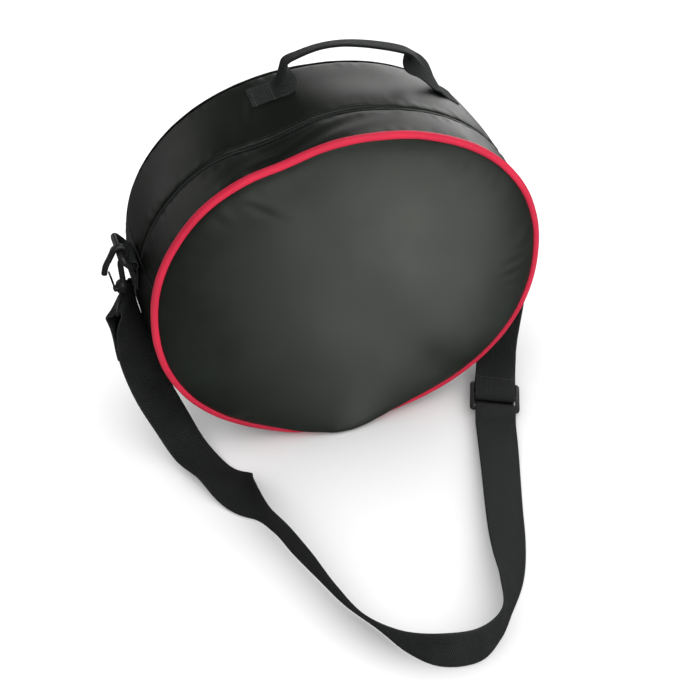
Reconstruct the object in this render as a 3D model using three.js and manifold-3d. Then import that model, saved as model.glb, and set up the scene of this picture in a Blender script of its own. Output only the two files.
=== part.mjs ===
// Oval padded shoulder bag: domed front panel with red piping, a zip over the top, a webbing handle,
// D-rings at both sides and a clip-on shoulder strap that is laid out on the floor in front.
// Millimetres, +Z up, the front faces -Y, and the bag stands on the floor at z = 0.
import * as THREE from 'three';
import { mergeVertices } from 'three/addons/utils/BufferGeometryUtils.js';
import Module from 'manifold-3d';

const { abs, cos, exp, hypot, max, min, PI, pow, sign, sin } = Math;
const DEGREE = PI / 180;
const DEPTH_WAYS = new THREE.Vector3(0, 1, 0);

// Driving sizes
const BAG = { width: 345, height: 305.5, depth: 128, roundness: 2.14, middle: 157 };
const FRONT = {
  crown: 8, puff: 12, lowPuff: 12, droop: 25, edgeInset: 4, rings: [0, 0.38, 0.68, 0.86, 0.95, 0.985, 1],
};
const BACK = { crown: 6, puff: 8, lowPuff: 0, droop: 0, edgeInset: 5.2, rings: [0, 0.45, 0.75, 0.94, 1] };
const WALL = { side: 4, panel: 5, belly: 4, inset: 1 };
const PIPING_RADIUS = 3.4;
const GAP = 0.3;
const SEAM_HEIGHT = 36;      // the side seams lie this far above the bag's middle
const ZIP = { width: 11, thick: 1.6, sunk: 1.2, ridge: 1.3, crest: 3.6, topSetBack: 45, sideSetBack: 53 };
const WEBBING = { strap: 38, handle: 25, tab: 30, thick: 1.6 };
const HANDLE = { y: 37, foldedWidth: 13, foldedThick: 3.6 };
const RING = { wire: 3, half: 19, rise: 14.6, round: 4, height: 192, sides: 8 };
// The fittings of each side: the ring's reach and lean, and how far they all sit lower and further back
const LEFT = { way: -1, out: 178.5, lean: 52, drop: 0, back: 0 };
const RIGHT = { way: 1, out: 182, lean: -60, drop: 22, back: 10 };
const HOOK = { y: -8, thick: 6, strip: 5, gateThick: 1.8, gateWidth: 5 };
const BARREL = { x: 189, low: 164, high: 172, radius: 5.2, bore: 2.4, boreTop: 168.8 };
const LOOP = { wire: 1.8, barHeight: 153, topHeight: 161.6, halfBar: 21.4, halfTop: 14, round: 2, side: 5.6 };
const TRIGLIDE = { width: 47, length: 35, thick: 3, side: 4, bar: 3, middleBar: 3 };
const COUNT = { rim: 80, arc: 40, base: 50, section: 8 };

// The seams sit so that the crowns reach equally far to the front and to the back of the origin.
const FRONT_REACH = FRONT.crown + FRONT.puff;
const BACK_REACH = BACK.crown + BACK.puff + 2 * GAP;
const FRONT_SEAM = FRONT_REACH - (BAG.depth + FRONT_REACH + BACK_REACH) / 2;
const BACK_SEAM = FRONT_SEAM + BAG.depth;
const BAND_FRONT = FRONT_SEAM + PIPING_RADIUS + 2 * GAP;
const BAND_BACK = BACK_SEAM - GAP;

// Dents of the upper rim and sags of the lower rim
const DENTS = [{ x: -58, half: 36, y: -25, reach: 45, deep: 10 }];
const SAGS = [{ x: -25, half: 45, deep: 7 }];
const BASE_SAG = { half: 100, deep: 9, reach: 25 };    // of the base, behind the front seam
const LOW_PUFF = { x: -8, half: 45 };                  // where the front panel hangs over its piping
const FLOOR_EASE = 4;        // height over which the rim eases into the flat of the base

// Zip row of the gusset: how far behind the front seam the zip runs, over the top and at the sides
const zipMiddle = (angle) => {
  const upTop = max(0, sin(angle));
  return FRONT_SEAM + ZIP.sideSetBack + (ZIP.topSetBack - ZIP.sideSetBack) * upTop;
};

// Route of the strap, from the left hook to the right one. Heading is its direction in plan, and lean
// turns the webbing about its length: 0 stands on edge, 90 lies flat.
const ROUTE = [
  { x: -186.4, y: -9.3, z: 153, heading: -27, lean: 90 },
  { x: -186.4, y: -9.3, z: 145, heading: -29, lean: 90 },
  { x: -187.5, y: -13.7, z: 127, heading: -46, lean: 90 },
  { x: -185.2, y: -20, z: 102, heading: -66, lean: 90 },
  { x: -177.6, y: -28.5, z: 65, heading: -68, lean: 91 },
  { x: -165.5, y: -42.8, z: 33.4, heading: -66, lean: 93 },
  { x: -153.5, y: -65, z: 11, heading: -64, lean: 98 },
  { x: -138.5, y: -96, z: 7.5, heading: -66, lean: 106 },
  { x: -127, y: -122, z: 11, heading: -70, lean: 68 },
  { x: -117.5, y: -148, z: 19.4, heading: -72, lean: 12 },
  { x: -109, y: -175, z: 20.1, heading: -72, lean: -8 },
  { x: -100, y: -202, z: 20.2, heading: -72, lean: -6 },
  { x: -89, y: -236, z: 20.2, heading: -72, lean: -10 },
  { x: -78, y: -271, z: 19.4, heading: -69, lean: -18 },
  { x: -63, y: -303, z: 18.4, heading: -60, lean: -27 },
  { x: -44, y: -331, z: 19.6, heading: -47, lean: -14 },
  { x: -19, y: -348, z: 20.2, heading: -20, lean: 4 },
  { x: 11, y: -352, z: 20.2, heading: 12, lean: 6 },
  { x: 35, y: -338, z: 20.2, heading: 47, lean: 2 },
  { x: 51, y: -311, z: 19.2, heading: 63, lean: 20 },
  { x: 66, y: -280, z: 14.8, heading: 67, lean: 46 },
  { x: 79, y: -246, z: 10.9, heading: 70, lean: 61 },
  { x: 91, y: -211, z: 9.2, heading: 71, lean: 66 },
  { x: 103, y: -177, z: 7.8, heading: 71, lean: 71 },
  { x: 115, y: -142, z: 7.6, heading: 71, lean: 79 },
  { x: 126, y: -109, z: 7.6, heading: 70, lean: 85 },
  { x: 138, y: -78, z: 10, heading: 67, lean: 86 },
  { x: 150, y: -51, z: 14.2, heading: 64, lean: 87 },
  { x: 160, y: -28.5, z: 27, heading: 57, lean: 90 },
  { x: 169.5, y: -14, z: 47, heading: 42, lean: 90 },
  { x: 178.5, y: -4.5, z: 66, heading: 21, lean: 90 },
  { x: 185.7, y: 0.7, z: 85, heading: 5, lean: 90 },
  { x: 187.9, y: 2, z: 98.85, heading: 0, lean: 90 },
  { x: 187.9, y: 2, z: 106.85, heading: 0, lean: 90 },
];
const GLIDE_ROW = 26;        // the triglide's middle bar sits a little before this row of the route
const GLIDE_SHORT = 5;
const STRAP_STEP = 9;        // length of strap between its cross-sections
const LAYER = WEBBING.thick + 0.4;
const BAR_TURN = LOOP.wire + GAP + WEBBING.thick / 2;
const TAIL = { length: 52, settle: 26, bulge: 9, bulgeAt: 11 };      // its loose loop bulges outwards

// Where the webbing passes the triglide: distance along the strap from the middle bar, and its lift
const WEAVE = [
  { along: -34, lift: 0 },
  { along: -25, lift: 2 },
  { along: -18, lift: 3 },
  { along: -13.8, lift: 2.9 },
  { along: -8, lift: -1.2 },
  { along: -4, lift: -4.9 },
  { along: 2, lift: -5.6 },
  { along: 12, lift: -5.2 },
  { along: 22, lift: -3.6 },
  { along: 34, lift: -LAYER },
];
const WEAVE_BACK = [
  { along: 25, lift: 1.8 },
  { along: 18.5, lift: 3 },
  { along: 12, lift: 2.9 },
  { along: 5, lift: 3.1 },
];
const WRAP = { radius: 3.2, end: 7 };

// Handle's run over the top: places along x and z, how far the webbing is folded in half, and its tilt,
// which lowers its front edge
const HANDLE_RUN = [
  { x: -58, foot: true, fold: 0, tilt: 0 },
  { x: -50, foot: true, fold: 0, tilt: 0 },
  { x: -42, foot: true, fold: 0, tilt: 0 },
  { x: -34, foot: true, fold: 0, tilt: 0 },
  { x: -30.5, z: 313, fold: 0, tilt: 0 },
  { x: -28, z: 323.5, fold: 0.3, tilt: 0 },
  { x: -25.5, z: 331.5, fold: 0.85, tilt: -4 },
  { x: -14, z: 336.1, fold: 1, tilt: -12 },
  { x: 4, z: 340, fold: 1, tilt: -15 },
  { x: 22, z: 340, fold: 1, tilt: -15 },
  { x: 40, z: 336.8, fold: 1, tilt: -15 },
  { x: 58, z: 331.8, fold: 1, tilt: -15 },
  { x: 74, z: 326.2, fold: 1, tilt: -10 },
  { x: 84, z: 321, fold: 0.6, tilt: 8 },
  { x: 92, z: 311.5, fold: 0.1, tilt: 24 },
  { x: 100, z: 300, fold: 0, tilt: 26 },
  { x: 107, z: 290, fold: 0, tilt: 16 },
  { x: 111.5, z: 284.6, fold: 0, tilt: 5 },
  { x: 116, foot: true, fold: 0, tilt: 0 },
  { x: 121, foot: true, fold: 0, tilt: 0 },
  { x: 126, foot: true, fold: 0, tilt: 0 },
];

// Centre line of the snap hook in its own plane: out from the bag and up, nose first
const HOOK_NOSE = [[202.6, 184.6], [200.6, 192], [197, 198.5]];
const CLOSE_NOSE = [[195.8, 186.5], [195.4, 192], [194.6, 198.5]];
const HOOK_SPINE = [[187.6, 193.5], [188, 185.5], [188, 173], [190, 168.4], [195.5, 167.2]];
const HOOK_BEND = { radius: 6.1, from: 165, to: -30, steps: 10 };
const GATE_RUN = [[195.9, 170.7], [198.5, 185.4]];
const CLOSED_GATE_RUN = [[195.6, 168.5], [195.8, 187.5]];

// Zip slider and its pull: distance towards the back, height along the zip, and reach from the gusset
const SLIDER_ABOVE_SEAM = 5.5;
const SLIDER_RUN = [
  { back: -5, tall: 8, low: 1.4, high: 2.8 },
  { back: -3.5, tall: 12, low: 0.7, high: 4 },
  { back: 3.5, tall: 12, low: 0.7, high: 4 },
  { back: 5, tall: 6, low: 1.3, high: 3.6 },
  { back: 7, tall: 5, low: 1.3, high: 2.9 },
  { back: 24, tall: 6, low: 1.3, high: 2.9 },
  { back: 28, tall: 4, low: 1.3, high: 2.9 },
];

// Materials
function finish(color, roughness, metalness = 0) {
  return new THREE.MeshStandardMaterial({ color, roughness, metalness });
}

const NYLON = finish('#1c201e', 0.55);
const RED_CORD = finish('#c02440', 0.6);
const BLACK_WEBBING = finish('#191b1a', 0.8);
const BLACK_ZIP = finish('#141615', 0.5);
const BLACK_PLASTIC = finish('#101111', 0.35);
const DARK_METAL = finish('#2a2b2c', 0.3, 0.9);

// Closed bodies from points
function body(points, faces) {
  const volume = faces.reduce((sum, [a, b, c]) => {
    const turned = new THREE.Vector3().crossVectors(points[b], points[c]);
    return sum + points[a].dot(turned);
  }, 0);
  const outward = volume > 0 ? faces : faces.map(([a, b, c]) => [a, c, b]);
  const geometry = new THREE.BufferGeometry().setFromPoints(points);
  geometry.setIndex(outward.flat());
  geometry.computeVertexNormals();
  return geometry;
}

const quad = (a, b, c, d) => [[a, b, c], [a, c, d]];

// A wall between an outer and an inner grid of points, open at both ends or closed round
function wall(outer, inner, closed) {
  const rows = outer.length;
  const across = outer[0].length;
  const points = [...outer.flat(), ...inner.flat()];
  const out = (i, j) => (i % rows) * across + j;
  const inn = (i, j) => rows * across + out(i, j);
  const faces = [];
  for (let i = 0; i < (closed ? rows : rows - 1); i += 1) {
    for (let j = 0; j + 1 < across; j += 1) {
      faces.push(...quad(out(i, j), out(i, j + 1), out(i + 1, j + 1), out(i + 1, j)));
      faces.push(...quad(inn(i, j), inn(i + 1, j), inn(i + 1, j + 1), inn(i, j + 1)));
    }
    const last = across - 1;
    faces.push(...quad(out(i, 0), out(i + 1, 0), inn(i + 1, 0), inn(i, 0)));
    faces.push(...quad(out(i, last), inn(i, last), inn(i + 1, last), out(i + 1, last)));
  }
  if (!closed) {
    for (let j = 0; j + 1 < across; j += 1) {
      faces.push(...quad(out(0, j), inn(0, j), inn(0, j + 1), out(0, j + 1)));
      const end = rows - 1;
      faces.push(...quad(out(end, j), out(end, j + 1), inn(end, j + 1), inn(end, j)));
    }
  }
  return body(points, faces);
}

// A domed sheet: rings of points from a pole to the rim, on its outer and its inner side
function dome(outer, inner) {
  const count = outer[1].length;
  const rings = outer.length;
  const points = [...outer.flat(), ...inner.flat()];
  const half = points.length / 2;
  const place = (ring, i) => (ring === 0 ? 0 : 1 + (ring - 1) * count + (i % count));
  const faces = [];
  for (let i = 0; i < count; i += 1) {
    faces.push([0, place(1, i), place(1, i + 1)]);
    faces.push([half, half + place(1, i + 1), half + place(1, i)]);
    for (let ring = 1; ring + 1 < rings; ring += 1) {
      const [a, b] = [place(ring, i), place(ring, i + 1)];
      const [c, d] = [place(ring + 1, i + 1), place(ring + 1, i)];
      faces.push(...quad(a, d, c, b), ...quad(half + a, half + b, half + c, half + d));
    }
    const [rim, next] = [place(rings - 1, i), place(rings - 1, i + 1)];
    faces.push(...quad(rim, half + rim, half + next, next));
  }
  return body(points, faces);
}

// A bar through cross-sections of equal point counts, closed round or capped at both ends. Both faces of
// a twisted stretch are split along the same slant, and the turned stretches along the other one
function sweep(sections, closed, turned = []) {
  const sides = sections[0].length;
  const points = sections.flat();
  const at = (i, j) => (i % sections.length) * sides + (j % sides);
  const faces = [];
  for (let i = 0; i < (closed ? sections.length : sections.length - 1); i += 1) {
    for (let j = 0; j < sides; j += 1) {
      const corners = [at(i, j), at(i, j + 1), at(i + 1, j + 1), at(i + 1, j)];
      const slantsBack = (j >= sides / 2) !== Boolean(turned[i]);
      if (slantsBack) corners.push(corners.shift());
      faces.push(...quad(...corners));
    }
  }
  if (!closed) {
    for (let j = 1; j + 1 < sides; j += 1) {
      const end = sections.length - 1;
      faces.push([at(0, 0), at(0, j + 1), at(0, j)]);
      faces.push([at(end, 0), at(end, j), at(end, j + 1)]);
    }
  }
  return body(points, faces);
}

function between(low, high, steps) {
  return Array.from({ length: steps + 1 }, (_, i) => low + ((high - low) * i) / steps);
}

const along = (point, direction, distance) => point.clone().addScaledVector(direction, distance);

// A round section about a point, in the plane of two directions
function circle(centre, first, second, radius, sides) {
  return Array.from({ length: sides }, (_, i) => {
    const turn = (2 * PI * i) / sides;
    return along(along(centre, first, radius * cos(turn)), second, radius * sin(turn));
  });
}

// A flat webbing section about a point
function flatSection(centre, across, normal, width, thick) {
  const corners = [[-0.5, -0.5], [0.5, -0.5], [0.5, 0.5], [-0.5, 0.5]];
  return corners.map(([u, v]) => along(along(centre, across, u * width), normal, v * thick));
}

// Joining and cutting
const wasm = await Module();
wasm.setup();

function toSolid(geometry) {
  const bare = geometry.clone();
  bare.deleteAttribute('normal');
  bare.deleteAttribute('uv');
  const merged = mergeVertices(bare, 1e-4);
  return new wasm.Manifold(new wasm.Mesh({
    numProp: 3,
    vertProperties: new Float32Array(merged.attributes.position.array),
    triVerts: new Uint32Array(merged.index.array),
  }));
}

function toGeometry(solid) {
  const mesh = solid.getMesh();
  const geometry = new THREE.BufferGeometry();
  geometry.setAttribute('position', new THREE.BufferAttribute(new Float32Array(mesh.vertProperties), 3));
  geometry.setIndex(new THREE.BufferAttribute(new Uint32Array(mesh.triVerts), 1));
  geometry.computeVertexNormals();
  return geometry;
}

const join = (...pieces) => toGeometry(pieces.map(toSolid).reduce((a, b) => a.add(b)));
const cut = (piece, tool) => toGeometry(toSolid(piece).subtract(toSolid(tool)));

// The bag's rim
const bump = (offset, half) => exp(-((offset / half) ** 2));

function superellipse(angle) {
  const [a, b, n] = [BAG.width / 2, BAG.height / 2, BAG.roundness];
  const x = a * sign(cos(angle)) * pow(abs(cos(angle)), 2 / n);
  const z = b * sign(sin(angle)) * pow(abs(sin(angle)), 2 / n);
  const nx = (sign(x) * pow(abs(x / a), n - 1)) / a;
  const nz = (sign(z) * pow(abs(z / b), n - 1)) / b;
  const size = hypot(nx, nz);
  return { x, z, nx: nx / size, nz: nz / size };
}

// Height of soft cloth that rests on the floor: flat there, and easing away from it
function rested(z, lowest) {
  const over = z - lowest;
  if (over > FLOOR_EASE) return z;
  return lowest + max(0, over + FLOOR_EASE) ** 2 / (4 * FLOOR_EASE);
}

// A point of the rim at some depth, moved inwards, and no lower than the floor allows
function rim(angle, y, inset, lowest) {
  const edge = superellipse(angle);
  const x = edge.x - edge.nx * inset;
  let z = BAG.middle + edge.z - edge.nz * inset;
  if (edge.z > 0) {
    DENTS.forEach((dent) => { z -= dent.deep * bump(x - dent.x, dent.half) * bump(y - dent.y, dent.reach); });
  } else {
    SAGS.forEach((sag) => { z -= sag.deep * bump(x - sag.x, sag.half); });
    z -= BASE_SAG.deep * bump(x, BASE_SAG.half) * (1 - bump(y - FRONT_SEAM, BASE_SAG.reach));
  }
  return new THREE.Vector3(x, y, rested(z, lowest));
}

// Outward belly of the gusset between its seams, most at the sides
function belly(angle, y) {
  const reach = (y - (FRONT_SEAM + BACK_SEAM) / 2) / (BAG.depth / 2);
  return WALL.belly * (1 - reach * reach) * cos(angle) ** 2;
}

const gussetOuter = (angle, y, lift = 0) => rim(angle, y, WALL.inset - belly(angle, y) - lift, 0);
const gussetInner = (angle, y, thick) => rim(angle, y, WALL.inset - belly(angle, y) + thick, thick);

const seamTurn = pow((2 * SEAM_HEIGHT) / BAG.height, BAG.roundness / 2);
const SEAM_ANGLE = Math.asin(seamTurn);
const SEAM_GAP_ANGLE = (GAP / BAG.width) * 2;

// A gusset strip between two edges given as depths for each angle
function band(from, to, count, edges) {
  const angles = between(from, to, count);
  const outer = angles.map((angle) => edges(angle).map((y) => gussetOuter(angle, y)));
  const inner = angles.map((angle) => edges(angle).map((y) => gussetInner(angle, y, WALL.side)));
  return wall(outer, inner, false);
}

// A padded panel of the bag, domed towards the front (side -1) or the back (side 1)
function panel(size, seam, side) {
  const lowest = PIPING_RADIUS * 2 + 3 * GAP;
  const angles = Array.from({ length: COUNT.rim }, (_, i) => (2 * PI * i) / COUNT.rim);
  const surface = (ring, angle, inward) => {
    const edge = rim(angle, seam, size.edgeInset + inward * 0.8, lowest + inward * 0.4);
    const x = edge.x * ring;
    const low = max(0, -sin(angle)) * bump(edge.x - LOW_PUFF.x, LOW_PUFF.half);
    const puff = size.puff * pow(1 - ring ** 5, 0.6);
    const sagged = size.lowPuff * low * ring ** 6 * pow(1 - ring ** 24, 0.5);
    const droop = size.droop * (1 - 0.08 * inward) * low * ring ** 8 * pow(1 - ring ** 24, 1.2);
    const z = BAG.middle + (edge.z - BAG.middle) * ring - droop;
    const crown = size.crown * (1 - ring * ring);
    return new THREE.Vector3(x, seam + side * (puff + sagged + crown - inward), z);
  };
  const grid = (inward) => size.rings.map((ring) => {
    if (ring === 0) return [surface(0, 0, inward)];
    return angles.map((angle) => surface(ring, angle, inward));
  });
  return dome(grid(0), grid(WALL.panel));
}

function piping() {
  const sections = Array.from({ length: COUNT.rim }, (_, i) => {
    const angle = (2 * PI * i) / COUNT.rim;
    const edge = superellipse(angle);
    const outwards = new THREE.Vector3(edge.nx, 0, edge.nz);
    const centre = rim(angle, FRONT_SEAM, 0, PIPING_RADIUS + GAP);
    return circle(centre, outwards, DEPTH_WAYS, PIPING_RADIUS, COUNT.section);
  });
  return sweep(sections, true);
}

// Zip tape with the closed teeth raised along its middle
function zip() {
  const span = between(SEAM_ANGLE + SEAM_GAP_ANGLE, PI - SEAM_ANGLE - SEAM_GAP_ANGLE, COUNT.arc);
  const [edge, foot, crest] = [ZIP.width / 2, ZIP.crest / 2 + 0.5, ZIP.crest / 2];
  const profile = [[-edge, 0], [-foot, 0], [-crest, ZIP.ridge], [crest, ZIP.ridge], [foot, 0], [edge, 0]];
  const side = (place) => span.map((angle) => {
    const middle = zipMiddle(angle);
    return profile.map(([y, lift]) => place(angle, middle + y, lift));
  });
  const outer = side((angle, y, lift) => gussetOuter(angle, y, lift - ZIP.sunk));
  const inner = side((angle, y) => gussetInner(angle, y, ZIP.sunk + ZIP.thick));
  return wall(outer, inner, false);
}

// Zip slider parked at the right end of the zip, with its pull laid towards the back
function zipSlider() {
  const angle = SEAM_ANGLE + SLIDER_ABOVE_SEAM * DEGREE;
  const edge = superellipse(angle);
  const outwards = new THREE.Vector3(edge.nx, 0, edge.nz);
  const upwards = new THREE.Vector3(-edge.nz, 0, edge.nx);
  const middle = gussetOuter(angle, zipMiddle(angle));
  const sections = SLIDER_RUN.map(({ back, tall, low, high }) => {
    const foot = along(along(middle, DEPTH_WAYS, back), outwards, (low + high) / 2);
    return flatSection(foot, upwards, outwards, tall, high - low);
  });
  return sweep(sections, false);
}

// Side tab: webbing folded round the D-ring's inner bar and sewn to the gusset below it
function tab({ way, out, drop, back }) {
  const sideOut = (height) => {
    const angle = Math.asin(sign(height) * pow(abs(2 * height) / BAG.height, BAG.roundness / 2));
    return gussetOuter(angle, back).x;
  };
  const turn = RING.wire + 1.7 * GAP + WEBBING.thick / 2;
  const rest = 1.4 * GAP + WEBBING.thick / 2;
  const heights = [10, 18, 26].map((height) => height - drop);
  const layer = (offset) => heights.map((height) => [sideOut(height) + offset, BAG.middle + height]);
  const eye = between(-50, 235, 14).map((turned) => [
    out - turn * cos(turned * DEGREE), RING.height - drop + turn * sin(turned * DEGREE)]);
  const path = [...layer(rest), ...eye, ...layer(rest + LAYER).reverse()];
  const sections = path.map(([x, z], i) => {
    const before = path[max(0, i - 1)];
    const after = path[min(path.length - 1, i + 1)];
    const run = new THREE.Vector3(way * (after[0] - before[0]), 0, after[1] - before[1]).normalize();
    const normal = new THREE.Vector3().crossVectors(DEPTH_WAYS, run);
    return flatSection(new THREE.Vector3(way * x, back, z), DEPTH_WAYS, normal, WEBBING.tab, WEBBING.thick);
  });
  return sweep(sections, false);
}

// A round wire bent along a closed loop of points that lie in one plane
function wireLoop(points, radius, sides) {
  const first = points[1].clone().sub(points[0]);
  const flat = first.cross(points[3].clone().sub(points[1])).normalize();
  const sections = points.map((point, i) => {
    const before = points[(i + points.length - 1) % points.length];
    const after = points[(i + 1) % points.length];
    const run = after.clone().sub(before).normalize();
    return circle(point, flat, new THREE.Vector3().crossVectors(flat, run), radius, sides);
  });
  return sweep(sections, true);
}

// Corner rounded by an arc, between two directions
function roundCorner(centre, first, second, radius, steps) {
  return between(0, 90, steps).map((turn) => along(
    along(centre, first, radius * cos(turn * DEGREE)), second, radius * sin(turn * DEGREE)));
}

function dRing({ way, out, lean, drop, back }) {
  const away = new THREE.Vector3(way * cos(lean * DEGREE), 0, sin(lean * DEGREE));
  const inner = new THREE.Vector3(way * out, back, RING.height - drop);
  const corner = (u, v, first, second) => {
    const centre = along(along(inner, DEPTH_WAYS, u * (RING.half - RING.round)), away, v);
    return roundCorner(centre, first, second, RING.round, 3);
  };
  const [behind, front, down] = [DEPTH_WAYS, DEPTH_WAYS.clone().negate(), away.clone().negate()];
  const [near, far] = [RING.round, RING.rise - RING.round];
  const points = [...corner(1, near, down, behind), ...corner(1, far, behind, away),
    ...corner(-1, far, away, front), ...corner(-1, near, front, down)];
  return wireLoop(points, RING.wire, RING.sides);
}

// A strip of even width along a line in the plane of the hook
function strip(line, width) {
  const edge = (half) => line.map((point, i) => {
    const before = line[max(0, i - 1)];
    const after = line[Math.min(line.length - 1, i + 1)];
    const size = hypot(after[0] - before[0], after[1] - before[1]);
    const [run, rise] = [(after[0] - before[0]) / size, (after[1] - before[1]) / size];
    return new THREE.Vector2(point[0] - rise * half, point[1] + run * half);
  });
  return new THREE.Shape([...edge(width / 2), ...edge(-width / 2).reverse()]);
}

// A plate of the hook's plane, so thick about the hook's middle plane
function plate(shape, side, thick) {
  const geometry = new THREE.ExtrudeGeometry(shape, { depth: thick, bevelEnabled: false, curveSegments: 6 });
  geometry.rotateX(PI / 2);
  geometry.translate(0, HOOK.y + thick / 2, 0);
  if (side > 0) return geometry;
  geometry.rotateZ(PI);
  geometry.translate(0, 2 * HOOK.y, 0);
  return geometry;
}

// Outer bar of a side's ring, out from the bag and up
const outerBar = ({ out, lean, drop }) => [
  out + RING.rise * cos(lean * DEGREE), RING.height - drop + RING.rise * sin(lean * DEGREE)];

function hookLine(nose) {
  const bar = outerBar(LEFT);
  const bend = between(HOOK_BEND.from, HOOK_BEND.to, HOOK_BEND.steps).map((turn) => [
    bar[0] - HOOK_BEND.radius * cos(turn * DEGREE), bar[1] + HOOK_BEND.radius * sin(turn * DEGREE)]);
  return [...nose, ...bend, ...HOOK_SPINE];
}

function barrel(side, radius, low, high) {
  const geometry = new THREE.CylinderGeometry(radius, radius, high - low, 14);
  geometry.rotateX(PI / 2);
  geometry.translate(side * BARREL.x, HOOK.y, (low + high) / 2);
  return geometry;
}

function hookBody(side) {
  const whole = join(plate(strip(hookLine(HOOK_NOSE), HOOK.strip), side, HOOK.thick),
    barrel(side, BARREL.radius, BARREL.low, BARREL.high));
  return cut(whole, barrel(side, BARREL.bore, BARREL.low - 1, BARREL.boreTop));
}

const gate = (side, line) => plate(strip(line, HOOK.gateThick), side, HOOK.gateWidth);

// Loop below the hook that holds the strap, with the stem that turns in the hook's barrel
function swivel(side, heading) {
  const bar = new THREE.Vector3(-sin(heading * DEGREE), cos(heading * DEGREE), 0);
  const up = new THREE.Vector3(0, 0, 1);
  const foot = new THREE.Vector3(side * BARREL.x, HOOK.y, LOOP.barHeight);
  const rise = LOOP.topHeight - LOOP.barHeight;
  const at = (u, v) => along(along(foot, bar, u), up, v);
  const half = LOOP.halfBar;
  const points = [at(LOOP.round - half, 0), at(half - LOOP.round, 0),
    at(half, LOOP.round), at(half, LOOP.side), at(LOOP.halfTop, rise),
    at(-LOOP.halfTop, rise), at(-half, LOOP.side), at(-half, LOOP.round)];
  const stem = barrel(side, BARREL.bore - GAP, LOOP.topHeight - 0.5, BARREL.boreTop - GAP);
  return join(wireLoop(points, LOOP.wire, 8), stem);
}

// The hook of the far side with its gate and its loop as one piece, hung on that side's ring
function wholeHook(fittings, heading) {
  const { way, back } = fittings;
  const whole = join(plate(strip(hookLine(CLOSE_NOSE), HOOK.strip), way, HOOK.thick),
    barrel(way, BARREL.radius, LOOP.topHeight, BARREL.high),
    gate(way, CLOSED_GATE_RUN),
    swivel(way, heading));
  const [near, far] = [outerBar(LEFT), outerBar(fittings)];
  return whole.translate(way * (far[0] - near[0]), back, far[1] - near[1]);
}

// The strap's curve: middle, direction, width and face at a distance along it
function strapCurve() {
  const places = ROUTE.map(({ x, y, z }) => new THREE.Vector3(x, y, z));
  const middle = new THREE.CatmullRomCurve3(places, false, 'centripetal');
  const stepsPerRow = 24;
  middle.arcLengthDivisions = stepsPerRow * (ROUTE.length - 1);
  const turns = new THREE.CatmullRomCurve3(
    ROUTE.map(({ heading, lean }) => new THREE.Vector3(heading, lean, 0)), false, 'catmullrom', 0.5);
  const length = middle.getLength();
  const distanceOf = (row) => middle.getLengths()[row * stepsPerRow];
  const at = (distance) => {
    const t = middle.getUtoTmapping(min(1, max(0, distance / length)));
    const run = middle.getTangent(t);
    const { x: heading, y: lean } = turns.getPoint(t);
    const inwards = new THREE.Vector3(-sin(heading * DEGREE), cos(heading * DEGREE), 0);
    const upright = new THREE.Vector3().crossVectors(run, inwards).normalize();
    const across = upright.multiplyScalar(cos(lean * DEGREE)).addScaledVector(inwards, sin(lean * DEGREE));
    across.addScaledVector(run, -across.dot(run)).normalize();
    const face = new THREE.Vector3().crossVectors(run, across);
    return { point: middle.getPoint(t), run, across, face };
  };
  return { length, at, distanceOf };
}

const curve = strapCurve();
const GLIDE_AT = curve.distanceOf(GLIDE_ROW) - GLIDE_SHORT;

const settle = (distance, reach) => {
  const part = min(1, distance / reach);
  return 1 - part * part * (3 - 2 * part);
};

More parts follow.
